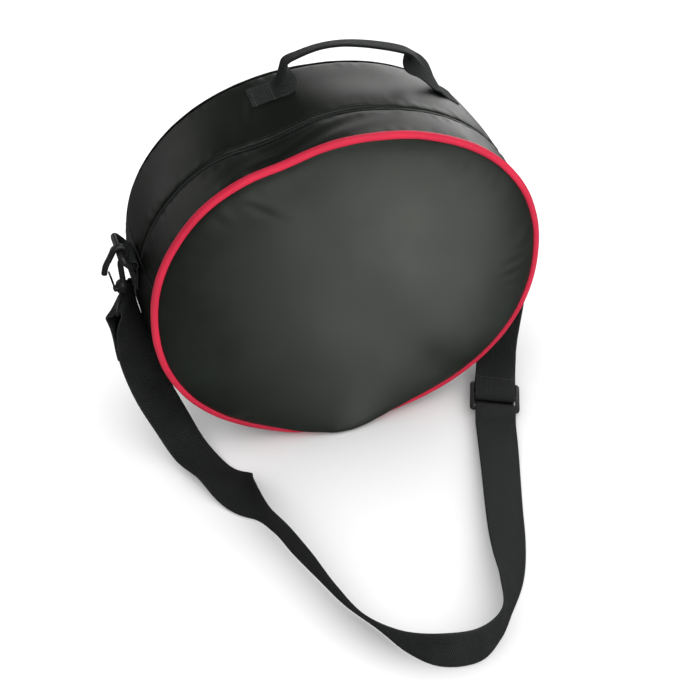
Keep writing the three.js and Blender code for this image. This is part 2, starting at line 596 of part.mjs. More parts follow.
// The strap in one length: a sewn tail, the turn round the left loop, the long run through the
// triglide, the turn round the right loop, and the end wrapped round the triglide's middle bar
function strap() {
  const sections = [];
  const place = (distance, lift) => {
    const { point, across, face } = curve.at(distance);
    sections.push(flatSection(along(point, face, lift), across, face, WEBBING.strap, WEBBING.thick));
  };
  const turnRound = (distance, beyond) => {
    const { point, run, across, face } = curve.at(distance);
    const bar = along(point, face, -BAR_TURN);
    between(0, 180, 6).slice(1, -1).forEach((turn) => {
      const spoke = face.clone().multiplyScalar(-cos(turn * DEGREE));
      spoke.addScaledVector(run, beyond * sin(turn * DEGREE));
      const centre = along(bar, spoke, BAR_TURN);
      sections.push(flatSection(centre, across, spoke.negate(), WEBBING.strap, WEBBING.thick));
    });
  };
  const doubled = (distance) => LAYER + (2 * BAR_TURN - LAYER) * settle(distance, TAIL.settle);
  const turnedOver = () => sections.splice(0).map((corners) => corners.reverse());
  const weaveFrom = GLIDE_AT + WEAVE[0].along;
  const weaveTo = GLIDE_AT + WEAVE[WEAVE.length - 1].along;

  const bulge = (distance) => {
    const part = distance / TAIL.bulgeAt;
    return TAIL.bulge * pow(part * exp(1 - part), 2);
  };
  between(TAIL.length, 0, 8).forEach((distance) => place(distance, -doubled(distance) - bulge(distance)));
  turnRound(0, -1);
  const leftEnd = turnedOver();
  const single = weaveFrom - TAIL.length;
  between(0, TAIL.length, 8).slice(0, -1).forEach((distance) => place(distance, 0));
  between(TAIL.length, weaveFrom, Math.round(single / STRAP_STEP)).forEach((distance) => place(distance, 0));
  WEAVE.slice(1).forEach(({ along: offset, lift }) => place(GLIDE_AT + offset, lift));
  between(weaveTo, curve.length, 10).slice(1).forEach((distance) => {
    place(distance, -doubled(curve.length - distance));
  });
  turnRound(curve.length, 1);
  const longRun = sections.splice(0);
  between(curve.length, weaveTo, 10).forEach((distance) => place(distance, 0));
  WEAVE_BACK.forEach(({ along: offset, lift }) => place(GLIDE_AT + offset, lift));
  const backRun = turnedOver();
  const { point, run, across, face } = curve.at(GLIDE_AT);
  const wrap = between(90, 270, 6).map((turn) => {
    const spoke = run.clone().multiplyScalar(cos(turn * DEGREE)).addScaledVector(face, sin(turn * DEGREE));
    const centre = along(point, spoke, WRAP.radius);
    return flatSection(centre, across, spoke.negate(), WEBBING.strap, WEBBING.thick);
  });
  const last = along(along(point, run, WRAP.end), face, -WRAP.radius);
  const end = flatSection(last, across, face, WEBBING.strap, WEBBING.thick);
  const turned = [...leftEnd.map(() => true), ...longRun.map(() => false), ...backRun.map(() => true)];
  return sweep([...leftEnd, ...longRun, ...backRun, ...wrap, end], false, turned);
}

// Triglide: a frame with two slots and the middle bar between them
function triglide() {
  const outline = new THREE.Shape();
  const [w, l, r] = [TRIGLIDE.width / 2, TRIGLIDE.length / 2, 4];
  outline.moveTo(-w + r, -l).lineTo(w - r, -l).absarc(w - r, -l + r, r, -PI / 2, 0);
  outline.lineTo(w, l - r).absarc(w - r, l - r, r, 0, PI / 2);
  outline.lineTo(-w + r, l).absarc(-w + r, l - r, r, PI / 2, PI);
  outline.lineTo(-w, -l + r).absarc(-w + r, -l + r, r, PI, 1.5 * PI);
  const inside = w - TRIGLIDE.side;
  const slot = (low, high) => new THREE.Path([[-inside, low], [inside, low], [inside, high], [-inside, high]]
    .map(([x, y]) => new THREE.Vector2(x, y)));
  const middle = TRIGLIDE.middleBar / 2;
  outline.holes.push(slot(-l + TRIGLIDE.bar, -middle), slot(middle, l - TRIGLIDE.bar));
  const settings = { depth: TRIGLIDE.thick, bevelEnabled: false, curveSegments: 4 };
  const geometry = new THREE.ExtrudeGeometry(outline, settings);
  geometry.translate(0, 0, -TRIGLIDE.thick / 2);
  const { point, run, across, face } = curve.at(GLIDE_AT);
  geometry.applyMatrix4(new THREE.Matrix4().makeBasis(across.clone().negate(), run, face).setPosition(point));
  return geometry;
}

// Handle: webbing sewn flat at both feet and folded in half along the grip
function handle() {
  const sewn = (x, y) => {
    const angle = Math.acos(sign(x) * pow(abs(2 * x) / BAG.width, BAG.roundness / 2));
    return gussetOuter(angle, y, 2 * GAP + WEBBING.thick / 2);
  };
  const rows = HANDLE_RUN.map(({ x, z, foot, fold, tilt }) => {
    const half = WEBBING.handle / 2;
    const edges = foot
      ? [sewn(x, HANDLE.y - half), sewn(x, HANDLE.y + half)]
      : [new THREE.Vector3(x, HANDLE.y - half, z), new THREE.Vector3(x, HANDLE.y + half, z)];
    const across = edges[1].clone().sub(edges[0]).normalize();
    return { point: edges[0].add(edges[1]).multiplyScalar(0.5), across, fold, tilt };
  });
  const sections = rows.map(({ point, across, fold, tilt }, i) => {
    const run = rows[min(rows.length - 1, i + 1)].point.clone().sub(rows[max(0, i - 1)].point).normalize();
    across.applyAxisAngle(run, tilt * DEGREE);
    const normal = run.cross(across).normalize();
    const width = WEBBING.handle + (HANDLE.foldedWidth - WEBBING.handle) * fold;
    const thick = WEBBING.thick + (HANDLE.foldedThick - WEBBING.thick) * fold;
    return flatSection(point, across, normal, width, thick);
  });
  return sweep(sections, false);
}

// Assembly
const bag = new THREE.Group();
function add(name, geometry, material) {
  const mesh = new THREE.Mesh(geometry, material);
  mesh.name = name;
  bag.add(mesh);
}

const frontStrip = (angle) => between(BAND_FRONT, zipMiddle(angle) - ZIP.width / 2 - GAP, 3);
const backStrip = (angle) => between(zipMiddle(angle) + ZIP.width / 2 + GAP, BAND_BACK, 4);
const seamFrom = SEAM_ANGLE + SEAM_GAP_ANGLE;
const seamTo = PI - SEAM_ANGLE - SEAM_GAP_ANGLE;
const baseFrom = PI - SEAM_ANGLE + SEAM_GAP_ANGLE;
const baseTo = 2 * PI + SEAM_ANGLE - SEAM_GAP_ANGLE;
add('front_panel', panel(FRONT, FRONT_SEAM, -1), NYLON);
add('back_panel', panel(BACK, BACK_SEAM + 2 * GAP, 1), NYLON);
add('front_piping', piping(), RED_CORD);
add('front_zip_band', band(seamFrom, seamTo, COUNT.arc, frontStrip), NYLON);
add('back_zip_band', band(seamFrom, seamTo, COUNT.arc, backStrip), NYLON);
add('base_band', band(baseFrom, baseTo, COUNT.base, () => between(BAND_FRONT, BAND_BACK, 6)), NYLON);
add('zip', zip(), BLACK_ZIP);
add('zip_slider', zipSlider(), DARK_METAL);
add('handle', handle(), BLACK_WEBBING);
add('left_tab', tab(LEFT), BLACK_WEBBING);
add('right_tab', tab(RIGHT), BLACK_WEBBING);
add('left_d_ring', dRing(LEFT), BLACK_PLASTIC);
add('right_d_ring', dRing(RIGHT), BLACK_PLASTIC);
add('left_hook', hookBody(LEFT.way), BLACK_PLASTIC);
add('left_hook_gate', gate(LEFT.way, GATE_RUN), DARK_METAL);
add('left_swivel', swivel(LEFT.way, ROUTE[0].heading), BLACK_PLASTIC);
add('right_hook', wholeHook(RIGHT, ROUTE[ROUTE.length - 1].heading), BLACK_PLASTIC);
add('strap', strap(), BLACK_WEBBING);
add('triglide', triglide(), BLACK_PLASTIC);

export default bag;
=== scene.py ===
"""Scuba regulator bag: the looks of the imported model, laid out as an add-on."""

import math
from bisect import bisect_right

import bpy
import numpy as np
from bpy.props import FloatProperty, FloatVectorProperty, PointerProperty
from mathutils import Matrix, Vector, noise


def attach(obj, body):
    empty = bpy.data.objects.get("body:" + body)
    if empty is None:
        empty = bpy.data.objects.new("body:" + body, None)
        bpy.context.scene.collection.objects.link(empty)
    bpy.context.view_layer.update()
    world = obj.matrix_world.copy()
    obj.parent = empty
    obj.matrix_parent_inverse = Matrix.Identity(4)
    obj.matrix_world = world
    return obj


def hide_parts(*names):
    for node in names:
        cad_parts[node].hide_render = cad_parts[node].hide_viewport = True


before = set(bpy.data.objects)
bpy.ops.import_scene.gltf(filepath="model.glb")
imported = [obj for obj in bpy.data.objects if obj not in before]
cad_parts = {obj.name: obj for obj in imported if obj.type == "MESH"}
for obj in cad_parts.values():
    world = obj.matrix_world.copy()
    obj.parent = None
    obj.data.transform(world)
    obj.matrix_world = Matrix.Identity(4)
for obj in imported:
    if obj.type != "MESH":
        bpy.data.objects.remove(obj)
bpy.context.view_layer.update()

bl_info = {
    "name": "Scuba regulator bag",
    "version": (1, 0, 0),
    "blender": (4, 5, 0),
    "location": "View3D > Sidebar > Regulator bag",
    "description": "Builds the cloth, webbing and fittings of a scuba regulator bag",
    "category": "Object",
}

DEGREE = math.pi / 180
OUT = Vector((1, 0, 0))
DEPTH = Vector((0, 1, 0))
UP = Vector((0, 0, 1))
WELD = 1e-5  # points nearer than this become one
NO_LENGTH = 1e-6  # least distance between two points of a line
RUN_PER_RADIAN = 0.16  # metres round the gusset for each radian, about
SOFT_EDGE = 0.3  # share of its thickness that rounds the edge of webbing
CAP_REACH = 0.6  # how far the cap of a bar reaches, as a share of its half width
CAP_TURNS = (25, 50, 70, 82, 90)
CLOTH_TONES = (0.3, 0.7)  # range of the noise that changes the tone of cloth
# range of the webbing's rib tone: painted shade in the rib grooves and painted light on the crests, plus a
# slow random tone
RIB_SHADE_AND_TONES = (0.3, 0.75)

# Strap route: place in metres, heading and lean of the webbing in degrees
STRAP_ROUTE = (
    (-0.1864, -0.0093, 0.153, -27, 90),
    (-0.1864, -0.0093, 0.145, -29, 90),
    (-0.1875, -0.0137, 0.127, -46, 90),
    (-0.1852, -0.02, 0.102, -66, 90),
    (-0.1776, -0.0285, 0.065, -68, 91),
    (-0.1655, -0.0428, 0.0334, -66, 93),
    (-0.1535, -0.065, 0.011, -64, 98),
    (-0.1385, -0.096, 0.0075, -66, 106),
    (-0.127, -0.122, 0.011, -70, 68),
    (-0.1175, -0.148, 0.0194, -72, 12),
    (-0.109, -0.175, 0.0201, -72, -8),
    (-0.1, -0.202, 0.0202, -72, -6),
    (-0.089, -0.236, 0.0202, -72, -10),
    (-0.078, -0.271, 0.0194, -69, -18),
    (-0.063, -0.303, 0.0184, -60, -27),
    (-0.044, -0.331, 0.0196, -47, -14),
    (-0.019, -0.348, 0.0202, -20, 4),
    (0.011, -0.352, 0.0202, 12, 6),
    (0.035, -0.338, 0.0202, 47, 2),
    (0.051, -0.311, 0.0192, 63, 20),
    (0.066, -0.28, 0.0148, 67, 46),
    (0.079, -0.246, 0.0109, 70, 61),
    (0.091, -0.211, 0.0092, 71, 66),
    (0.103, -0.177, 0.0078, 71, 71),
    (0.115, -0.142, 0.0076, 71, 79),
    (0.126, -0.109, 0.0076, 70, 85),
    (0.138, -0.078, 0.01, 67, 86),
    (0.15, -0.051, 0.0142, 64, 87),
    (0.16, -0.0285, 0.027, 57, 90),
    (0.1695, -0.014, 0.047, 42, 90),
    (0.1785, -0.0045, 0.066, 21, 90),
    (0.1857, 0.0007, 0.085, 5, 90),
    (0.1879, 0.002, 0.09885, 0, 90),
    (0.1879, 0.002, 0.10685, 0, 90),
)
GLIDE_ROW = 26  # the triglide's middle bar sits a little before this row
GLIDE_SHORT = 0.005

# Where the webbing passes the triglide: distance from its middle bar, and lift
WEAVE = ((-0.034, 0), (-0.025, 0.002), (-0.018, 0.003), (-0.0138, 0.0029), (-0.008, -0.0012),
         (-0.004, -0.0049), (0.002, -0.0056), (0.012, -0.0052), (0.022, -0.0036), (0.034, -0.002))
WEAVE_BACK = ((0.034, 0), (0.025, 0.0018), (0.0185, 0.003), (0.012, 0.0029), (0.005, 0.0031))

# Handle's run over the top: x, height (None where it is sewn to the bag), share folded, and the tilt
# in degrees that lowers its front edge
HANDLE_RUN = (
    (-0.058, None, 0, 0),
    (-0.05, None, 0, 0),
    (-0.042, None, 0, 0),
    (-0.034, None, 0, 0),
    (-0.0305, 0.313, 0.35, 0),
    (-0.028, 0.3235, 0.85, 0),
    (-0.0255, 0.3315, 1, -4),
    (-0.014, 0.3361, 1, -12),
    (0.004, 0.34, 1, -15),
    (0.022, 0.34, 1, -12),
    (0.04, 0.3368, 1, -6),
    (0.058, 0.3318, 1, -2),
    (0.074, 0.3262, 1, 0),
    (0.083, 0.3218, 1, 0),
    (0.09, 0.315, 0.55, 8),
    (0.0955, 0.307, 0.1, 22),
    (0.101, 0.2988, 0, 25),
    (0.107, 0.29, 0, 16),
    (0.1115, 0.2846, 0, 5),
    (0.116, None, 0, 0),
    (0.121, None, 0, 0),
    (0.126, None, 0, 0),
)

# Snap hook in its own plane: distance out from the bag's middle, and height
HOOK_NOSE = ((0.2026, 0.1846), (0.2006, 0.192), (0.197, 0.1985))
CLOSE_NOSE = ((0.1958, 0.1865), (0.1954, 0.192), (0.1946, 0.1985))
HOOK_SPINE = ((0.1876, 0.1935), (0.188, 0.1855), (0.188, 0.173), (0.190, 0.1684), (0.1955, 0.1672))
HOOK_BEND = {"radius": 0.0061, "start": 165, "stop": -30, "steps": 12}
GATE_RUN = ((0.1959, 0.1707), (0.1985, 0.1854))
CLOSED_GATE_RUN = ((0.1956, 0.1685), (0.1958, 0.1875))
RING = {"wire": 0.003, "half": 0.019, "rise": 0.0146, "round": 0.004, "height": 0.192}
# Fittings of each side: reach and lean of the ring, and how far all of them sit lower and further back
LEFT_FITTING = {"side": -1, "out": 0.1785, "lean": 52, "drop": 0, "back": 0}
RIGHT_FITTING = {"side": 1, "out": 0.182, "lean": -60, "drop": 0.022, "back": 0.01}
BARREL = {"x": 0.189, "y": -0.008, "low": 0.164, "high": 0.172, "radius": 0.0052, "stem": 0.0021}
LOOP = {"wire": 0.0018, "bar": 0.153, "top": 0.1616, "half_bar": 0.0214, "half_top": 0.014,
        "round": 0.002, "side": 0.0056}
TRIGLIDE = {"width": 0.047, "length": 0.035, "thick": 0.003, "side": 0.004, "bar": 0.003}


class BagSizes(bpy.types.PropertyGroup):
    """Sizes of the bag's cloth."""

    width: FloatProperty(name="Width", description="Across the front", default=0.345, unit="LENGTH")
    height: FloatProperty(name="Height", description="Of the front outline", default=0.3055, unit="LENGTH")
    depth: FloatProperty(name="Depth", description="From seam to seam", default=0.128, unit="LENGTH")
    middle: FloatProperty(name="Middle", description="Height of the outline's middle", default=0.157,
                          unit="LENGTH")
    roundness: FloatProperty(name="Roundness", description="Power of the outline; 2 is an ellipse",
                             default=2.14, subtype="FACTOR", min=1.5, max=6)
    front_seam: FloatProperty(name="Front seam", description="Place of the front seam in depth",
                              default=-0.0613, unit="LENGTH")
    piping: FloatProperty(name="Piping", description="Radius of the red piping", default=0.0035,
                          unit="LENGTH")
    cloth: FloatProperty(name="Cloth", description="Thickness of the padded cloth", default=0.002,
                         unit="LENGTH")
    pucker: FloatProperty(name="Pucker", description="Height of the puckers beside the seams",
                          default=0.0007, unit="LENGTH")


class WebbingSizes(bpy.types.PropertyGroup):
    """Sizes of the webbing."""

    strap: FloatProperty(name="Strap", description="Width of the strap", default=0.038, unit="LENGTH")
    handle: FloatProperty(name="Handle", description="Width of the handle", default=0.025, unit="LENGTH")
    tab: FloatProperty(name="Tab", description="Width of the side tabs", default=0.03, unit="LENGTH")
    thick: FloatProperty(name="Thickness", description="Of all the webbing", default=0.0015,
                         unit="LENGTH")


class BagColours(bpy.types.PropertyGroup):
    """Colours of the pieces."""

    nylon: FloatVectorProperty(name="Nylon", description="Cloth of the bag", subtype="COLOR",
                               default=(0.005, 0.0064, 0.005))
    piping: FloatVectorProperty(name="Piping", description="Cord round the front", subtype="COLOR",
                                default=(0.54, 0.018, 0.05))
    webbing: FloatVectorProperty(name="Webbing", description="Strap, handle and tabs", subtype="COLOR",
                                 default=(0.0135, 0.015, 0.0145))
    plastic: FloatVectorProperty(name="Plastic", description="Hooks, rings and triglide", subtype="COLOR",
                                 default=(0.009, 0.0095, 0.0095))
    metal: FloatVectorProperty(name="Metal", description="Zip slider and gate", subtype="COLOR",
                               default=(0.05, 0.05, 0.052))


class StageSettings(bpy.types.PropertyGroup):
    """Floor, lights and camera."""

    floor: FloatVectorProperty(name="Floor", description="Colour of the floor", subtype="COLOR",
                               default=(0.9, 0.9, 0.9))
    overhead: FloatProperty(name="Overhead light", description="Strength of the soft light on the floor",
                            default=4.2, subtype="FACTOR")
    key: FloatProperty(name="Key light", description="Power of the soft light at the front right",
                       default=7, unit="POWER")
    rim: FloatProperty(name="Rim light", description="Power of the soft light at the back right",
                       default=14, unit="POWER")
    bounce: FloatProperty(name="Bounce light", description="Power of the low light that the front mirrors",
                          default=11, unit="POWER")
    fill: FloatProperty(name="Fill light", description="Power of the soft light in front", default=8,
                        unit="POWER")
    left: FloatProperty(name="Left light", description="Power of the soft light at the back left",
                        default=3, unit="POWER")
    top: FloatProperty(name="Top light", description="Power of the soft light above", default=12,
                       unit="POWER")
    room: FloatProperty(name="Room", description="Strength of the even light all round", default=0.13,
                        subtype="FACTOR")
    lens: FloatProperty(name="Lens", description="Focal length", default=72, unit="CAMERA")
    camera: FloatVectorProperty(name="Camera", description="Place of the camera", subtype="XYZ",
                                unit="LENGTH", default=(-0.2968, -0.9609, 0.9157))
    aim: FloatVectorProperty(name="Aim", description="Point that the camera faces", subtype="XYZ",
                             unit="LENGTH", default=(0.0006, -0.056, 0.0837))


# Shapes in space


def bell(value, middle, half):
    """Smooth rise from nought to one about a middle, with its half width."""
    return math.exp(-(((value - middle) / half) ** 2))


def settle(distance, reach):
    """Falls smoothly from one to nought over a reach."""
    share = min(1, distance / reach)
    return 1 - share * share * (3 - 2 * share)


def ripple(x, y, seed):
    return noise.noise(Vector((x, y, seed)))


def ripple_round(angle, scale, seed):
    """A smooth random height that closes on itself round the bag."""
    return ripple(math.cos(angle) * scale, math.sin(angle) * scale, seed)


def spread(low, high, steps):
    """Even steps from one number to another, with both ends."""
    return [low + (high - low) * i / steps for i in range(steps + 1)]


def signed_power(value, power):
    return math.copysign(abs(value) ** power, value)


def spoke(first, second, degrees):
    """The first of two directions, turned so many degrees towards the second."""
    return first * math.cos(degrees * DEGREE) + second * math.sin(degrees * DEGREE)


class BagForm:
    """The bag's outline, gusset and zip line in space."""

    SIDE_SEAM = 0.036  # height of the side seams over the outline's middle
    WALL = 0.001  # from the outline in to the gusset
    BELLY = 0.004  # swell of the gusset's sides
    ZIP_BACK = 0.053  # from the front seam back to the zip's ends
    ZIP_FORWARD = 0.008  # how far the zip comes forward over the top
    LANDING = 0.004  # height over which the base rounds on to the floor
    # Hollows: depth, then middle and half width in each direction
    TOP_DENT, DENT_X, DENT_Y = 0.010, (-0.058, 0.036), (-0.025, 0.045)
    LOW_SAG, LOW_X = 0.007, (-0.025, 0.045)
    BASE_SAG, BASE_X, BASE_FRONT = 0.009, (0, 0.1), 0.025

    def __init__(self, sizes):
        self.half_width = sizes.width / 2
        self.half_height = sizes.height / 2
        self.half_depth = sizes.depth / 2
        self.power = sizes.roundness
        self.middle = sizes.middle
        self.front = sizes.front_seam
        self.back = sizes.front_seam + sizes.depth
        self.pucker = sizes.pucker
        self.seam_angle = self.side_angle(self.SIDE_SEAM)

    def edge(self, angle):
        """Outline point about the middle, and the direction out of it."""
        x = self.half_width * signed_power(math.cos(angle), 2 / self.power)
        z = self.half_height * signed_power(math.sin(angle), 2 / self.power)
        nx = signed_power(x / self.half_width, self.power - 1) / self.half_width
        nz = signed_power(z / self.half_height, self.power - 1) / self.half_height
        size = math.hypot(nx, nz)
        return x, z, nx / size, nz / size

    def side_angle(self, rise):
        """Angle of the outline's side at a height over the middle."""
        return math.asin(signed_power(rise / self.half_height, self.power / 2))

    def top_angle(self, x):
        """Angle of the outline's top at a distance from the middle."""
        return math.acos(signed_power(x / self.half_width, self.power / 2))

    def out(self, angle):
        _, _, nx, nz = self.edge(angle)
        return Vector((nx, 0, nz))

    def rim(self, angle, y, inset, lowest=0.0):
        """Point of the gusset at a depth, so far inside the outline, with the dent and the flat base."""
        x, z, nx, nz = self.edge(angle)
        px = x - nx * inset
        pz = self.middle + z - nz * inset
        if z > 0:
            pz -= self.TOP_DENT * bell(px, *self.DENT_X) * bell(y, *self.DENT_Y)
        else:
            pz -= self.LOW_SAG * bell(px, *self.LOW_X)
            pz -= self.BASE_SAG * bell(px, *self.BASE_X) * (1 - bell(y, self.front, self.BASE_FRONT))
        over = pz - lowest
        if over < self.LANDING:
            pz = lowest + max(0, over + self.LANDING) ** 2 / (4 * self.LANDING)
        return Vector((px, y, pz))

    def gusset(self, angle, y, lift=0.0):
        """Point of the gusset's cloth at a depth, with the swell of its sides and a lift of its own."""
        from_middle = (y - self.front) / self.half_depth - 1
        belly = self.BELLY * (1 - from_middle ** 2) * math.cos(angle) ** 2
        return self.rim(angle, y, self.WALL - belly - lift)

    def zip_middle(self, angle):
        return self.front + self.ZIP_BACK - self.ZIP_FORWARD * max(0, math.sin(angle))


def hermite(p0, p1, p2, p3, times, t):
    """Point between p1 and p2 on a smooth curve through four points with uneven spacing."""
    d0, d1, d2 = times
    m1 = ((p1 - p0) / d0 - (p2 - p0) / (d0 + d1) + (p2 - p1) / d1) * d1
    m2 = ((p2 - p1) / d1 - (p3 - p1) / (d1 + d2) + (p3 - p2) / d2) * d1
    return (p1 * (2 * t ** 3 - 3 * t ** 2 + 1) + m1 * (t ** 3 - 2 * t ** 2 + t)
            + p2 * (3 * t ** 2 - 2 * t ** 3) + m2 * (t ** 3 - t ** 2))


def smooth_line(points, steps, even=False):
    """Smooth line through points, with so many steps between each two, spaced evenly or by distance."""
    points = [Vector(p) for p in points]
    ends = [2 * points[0] - points[1], *points, 2 * points[-1] - points[-2]]
    line = []
    for i in range(len(points) - 1):
        four = ends[i:i + 4]
        times = [1 if even else max((b - a).length, NO_LENGTH) ** 0.5 for a, b in zip(four, four[1:])]
        line += [hermite(*four, times, k / steps) for k in range(steps)]
    return line + [points[-1]]


def headings(line):
    """Direction of a line at each of its points."""
    last = len(line) - 1
    return [(line[min(last, i + 1)] - line[max(0, i - 1)]).normalized() for i in range(last + 1)]


def running(points):
    """Distance along a row of points, up to each of them."""
    total, out = 0.0, [0.0]
    for a, b in zip(points, points[1:]):
        total += (b - a).length
        out.append(total)
    return out


class StrapLine:
    """The strap's middle line, with the directions of its run, width and face."""

    STEPS = 24

    def __init__(self):
        self.points = smooth_line([row[:3] for row in STRAP_ROUTE], self.STEPS)
        self.turns = smooth_line([(*row[3:], 0) for row in STRAP_ROUTE], self.STEPS, even=True)
        self.distances = running(self.points)
        self.length = self.distances[-1]
        self.glide = self.distances[GLIDE_ROW * self.STEPS] - GLIDE_SHORT

    def at(self, distance):
        """Middle point at a distance, and the directions along, across and out of the face."""
        last = len(self.points) - 1
        distance = min(max(distance, 0), self.length)
        i = min(bisect_right(self.distances, distance) - 1, last - 1)
        share = (distance - self.distances[i]) / (self.distances[i + 1] - self.distances[i])
        point = self.points[i].lerp(self.points[i + 1], share)
        heading, lean, _ = self.turns[i].lerp(self.turns[i + 1], share)
        run = (self.points[min(last, i + 2)] - self.points[max(0, i - 1)]).normalized()
        inwards = spoke(DEPTH, -OUT, heading)
        across = spoke(run.cross(inwards).normalized(), inwards, lean)
        across = (across - run * across.dot(run)).normalized()
        return point, run, across, run.cross(across)


# Making pieces


def deselect():
    bpy.ops.object.select_all(action="DESELECT")


def activate(piece):
    deselect()
    piece.select_set(True)
    bpy.context.view_layer.objects.active = piece


def rename(piece, name):
    piece.name = name
    piece.data.name = name


def mend(piece, weld=False, flip=False, outwards=False):
    """Closes the seams of a mesh, turns its faces and smooths it."""
    activate(piece)
    bpy.ops.object.mode_set(mode="EDIT")
    bpy.ops.mesh.select_all(action="SELECT")
    if weld:
        bpy.ops.mesh.remove_doubles(threshold=WELD)
    if flip:
        bpy.ops.mesh.flip_normals()
    if outwards:
        bpy.ops.mesh.normals_make_consistent(inside=False)
    bpy.ops.object.mode_set(mode="OBJECT")
    bpy.ops.object.shade_smooth()


def lay_grid(name, columns, rows, place, measure, **mending):
    """A grid laid in space by its shares along and across, with its UV map in metres."""
    deselect()
    bpy.ops.mesh.primitive_grid_add(x_subdivisions=columns, y_subdivisions=rows, size=1)
    piece = bpy.context.object
    rename(piece, name)
    mesh = piece.data
    flat = []
    for point in mesh.vertices:
        u, v = point.co.x + 0.5, point.co.y + 0.5
        point.co = place(u, v)
        flat.append(measure(u, v))
    corners = np.empty(len(mesh.loops), dtype=np.int32)
    mesh.loops.foreach_get("vertex_index", corners)
    mesh.uv_layers.active.data.foreach_set("uv", np.array(flat, dtype=np.float32)[corners].ravel())
    mend(piece, **mending)
    return piece


def modify(piece, kind, **settings):
    """Adds a modifier, sets it and applies it."""
    activate(piece)
    bpy.ops.object.modifier_add(type=kind)
    modifier = piece.modifiers[-1]
    for key, value in settings.items():
        setattr(modifier, key, value)
    bpy.ops.object.modifier_apply(modifier=modifier.name)


def thicken(piece, thick, offset):
    modify(piece, "SOLIDIFY", thickness=thick, offset=offset, use_even_offset=False)


def lay_webbing(name, line, rows, width, thick, place):
    """Webbing along a line, placed by the number of a point and the distance from its middle."""
    count = len(line) - 1
    distances = running(line)
    piece = lay_grid(name, count, rows,
                     lambda u, v: place(round(u * count), (v - 0.5) * width),
                     lambda u, v: (distances[round(u * count)], (v - 0.5) * width))
    thicken(piece, thick, 0)
    modify(piece, "BEVEL", width=thick * SOFT_EDGE, segments=2, limit_method="ANGLE", angle_limit=0.9)
    return piece


def dome_ends(stations):
    """Stations with a rounded cap at both ends."""
    def cap(near, inner):
        point, first, second, a, b = near
        reach = (point - inner[0]).normalized() * (min(a, b) * CAP_REACH)
        turns = [turn * DEGREE for turn in CAP_TURNS]
        return [(point + reach * math.sin(turn), first, second, a * math.cos(turn), b * math.cos(turn))
                for turn in turns]
    return cap(stations[0], stations[1])[::-1] + stations + cap(stations[-1], stations[-2])


def sweep(name, stations, sides, closed=False, power=2.0):
    """A bar through stations: middle, two directions and the half widths along them."""
    stations = [*stations, stations[0]] if closed else dome_ends(stations)
    count = len(stations) - 1
    distances = running([station[0] for station in stations])

    def place(u, v):
        point, first, second, a, b = stations[round(u * count)]
        turn = 2 * math.pi * v
        wide = signed_power(math.cos(turn), 2 / power) * a
        tall = signed_power(math.sin(turn), 2 / power) * b
        return point + first * wide + second * tall

    def measure(u, v):
        i = round(u * count)
        return distances[i], v * 2 * math.pi * stations[i][3]

    return lay_grid(name, count, sides, place, measure, weld=True, outwards=True)


def wire(name, points, radius, sides=16):
    """A round wire along a closed flat loop of points."""
    flat = (points[1] - points[0]).cross(points[len(points) // 3] - points[1]).normalized()
    stations = []
    for i, point in enumerate(points):
        run = (points[(i + 1) % len(points)] - points[i - 1]).normalized()
        stations.append((point, flat, flat.cross(run), radius, radius))
    return sweep(name, stations, sides, closed=True)


def join(name, pieces):
    activate(pieces[0])
    for piece in pieces:
        piece.select_set(True)
    bpy.ops.object.join()
    rename(pieces[0], name)
    return pieces[0]


def finish(piece, material, slot, *nodes, body="root"):
    """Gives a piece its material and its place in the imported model."""
    piece.data.materials.clear()
    piece.data.materials.append(material)
    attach(piece, body)
    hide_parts(*nodes)
    deselect()


# Material node groups


class Nodes:
    """A node tree being put together, with short ways to add nodes."""

    def __init__(self, tree):
        self.tree = tree

    def add(self, kind):
        return self.tree.nodes.new(kind)

    def put(self, value, socket):
        """Links a socket to another one, or sets it to a value."""
        if isinstance(value, bpy.types.NodeSocket):
            self.tree.links.new(value, socket)
        else:
            socket.default_value = value

    def fit(self, sockets, **values):
        """Links or sets sockets by their names, written with _ for a space."""
        for title, value in values.items():
            self.put(value, sockets[title.replace("_", " ")])

    def calc(self, operation, *values):
        made = self.add("ShaderNodeMath")
        made.operation = operation
        for value, socket in zip(values, made.inputs):
            self.put(value, socket)
        return made.outputs[0]

    def remap(self, value, low, high, to_low=0, to_high=1):
        made = self.add("ShaderNodeMapRange")
        made.clamp = True
        for number, socket in zip((value, low, high, to_low, to_high), made.inputs):
            self.put(number, socket)
        return made.outputs[0]

    def speckle(self, vector, scale, detail, roughness=0.55):
        made = self.add("ShaderNodeTexNoise")
        self.fit(made.inputs, Vector=vector, Scale=scale, Detail=detail, Roughness=roughness)
        return made.outputs["Fac"]

    def wave(self, value, per_metre):
        """Sine wave along a distance, with so many turns per metre."""
        turns = self.calc("MULTIPLY", value, per_metre)
        return self.calc("SINE", self.calc("MULTIPLY", turns, 2 * math.pi))

    def parted(self, vector):
        made = self.add("ShaderNodeSeparateXYZ")
        self.put(vector, made.inputs[0])
        return made.outputs[0], made.outputs[1]


class Effect(Nodes):
    """A node group being filled: the sockets that it is given and those that it gives."""

    def __init__(self, name, inputs, outputs):
        super().__init__(bpy.data.node_groups.new(name, "ShaderNodeTree"))
        for title, value in inputs.items():
            kind = "NodeSocketVector" if value is None else "NodeSocketFloat"
            socket = self.tree.interface.new_socket(title, in_out="INPUT", socket_type=kind)
            if value is not None:
                socket.default_value = value
        for title in outputs:
            self.tree.interface.new_socket(title, in_out="OUTPUT", socket_type="NodeSocketFloat")
        self.given = self.add("NodeGroupInput").outputs
        self.result = self.add("NodeGroupOutput").inputs

    def give(self, **values):
        self.fit(self.result, **values)


def effect(name, inputs, outputs):
    """Turns a function that fills a node group into one that makes the group once and returns it."""
    def wrap(fill):
        def made_once():
            if name not in bpy.data.node_groups:
                fill(Effect(name, inputs, outputs))
            return bpy.data.node_groups[name]
        return made_once
    return wrap


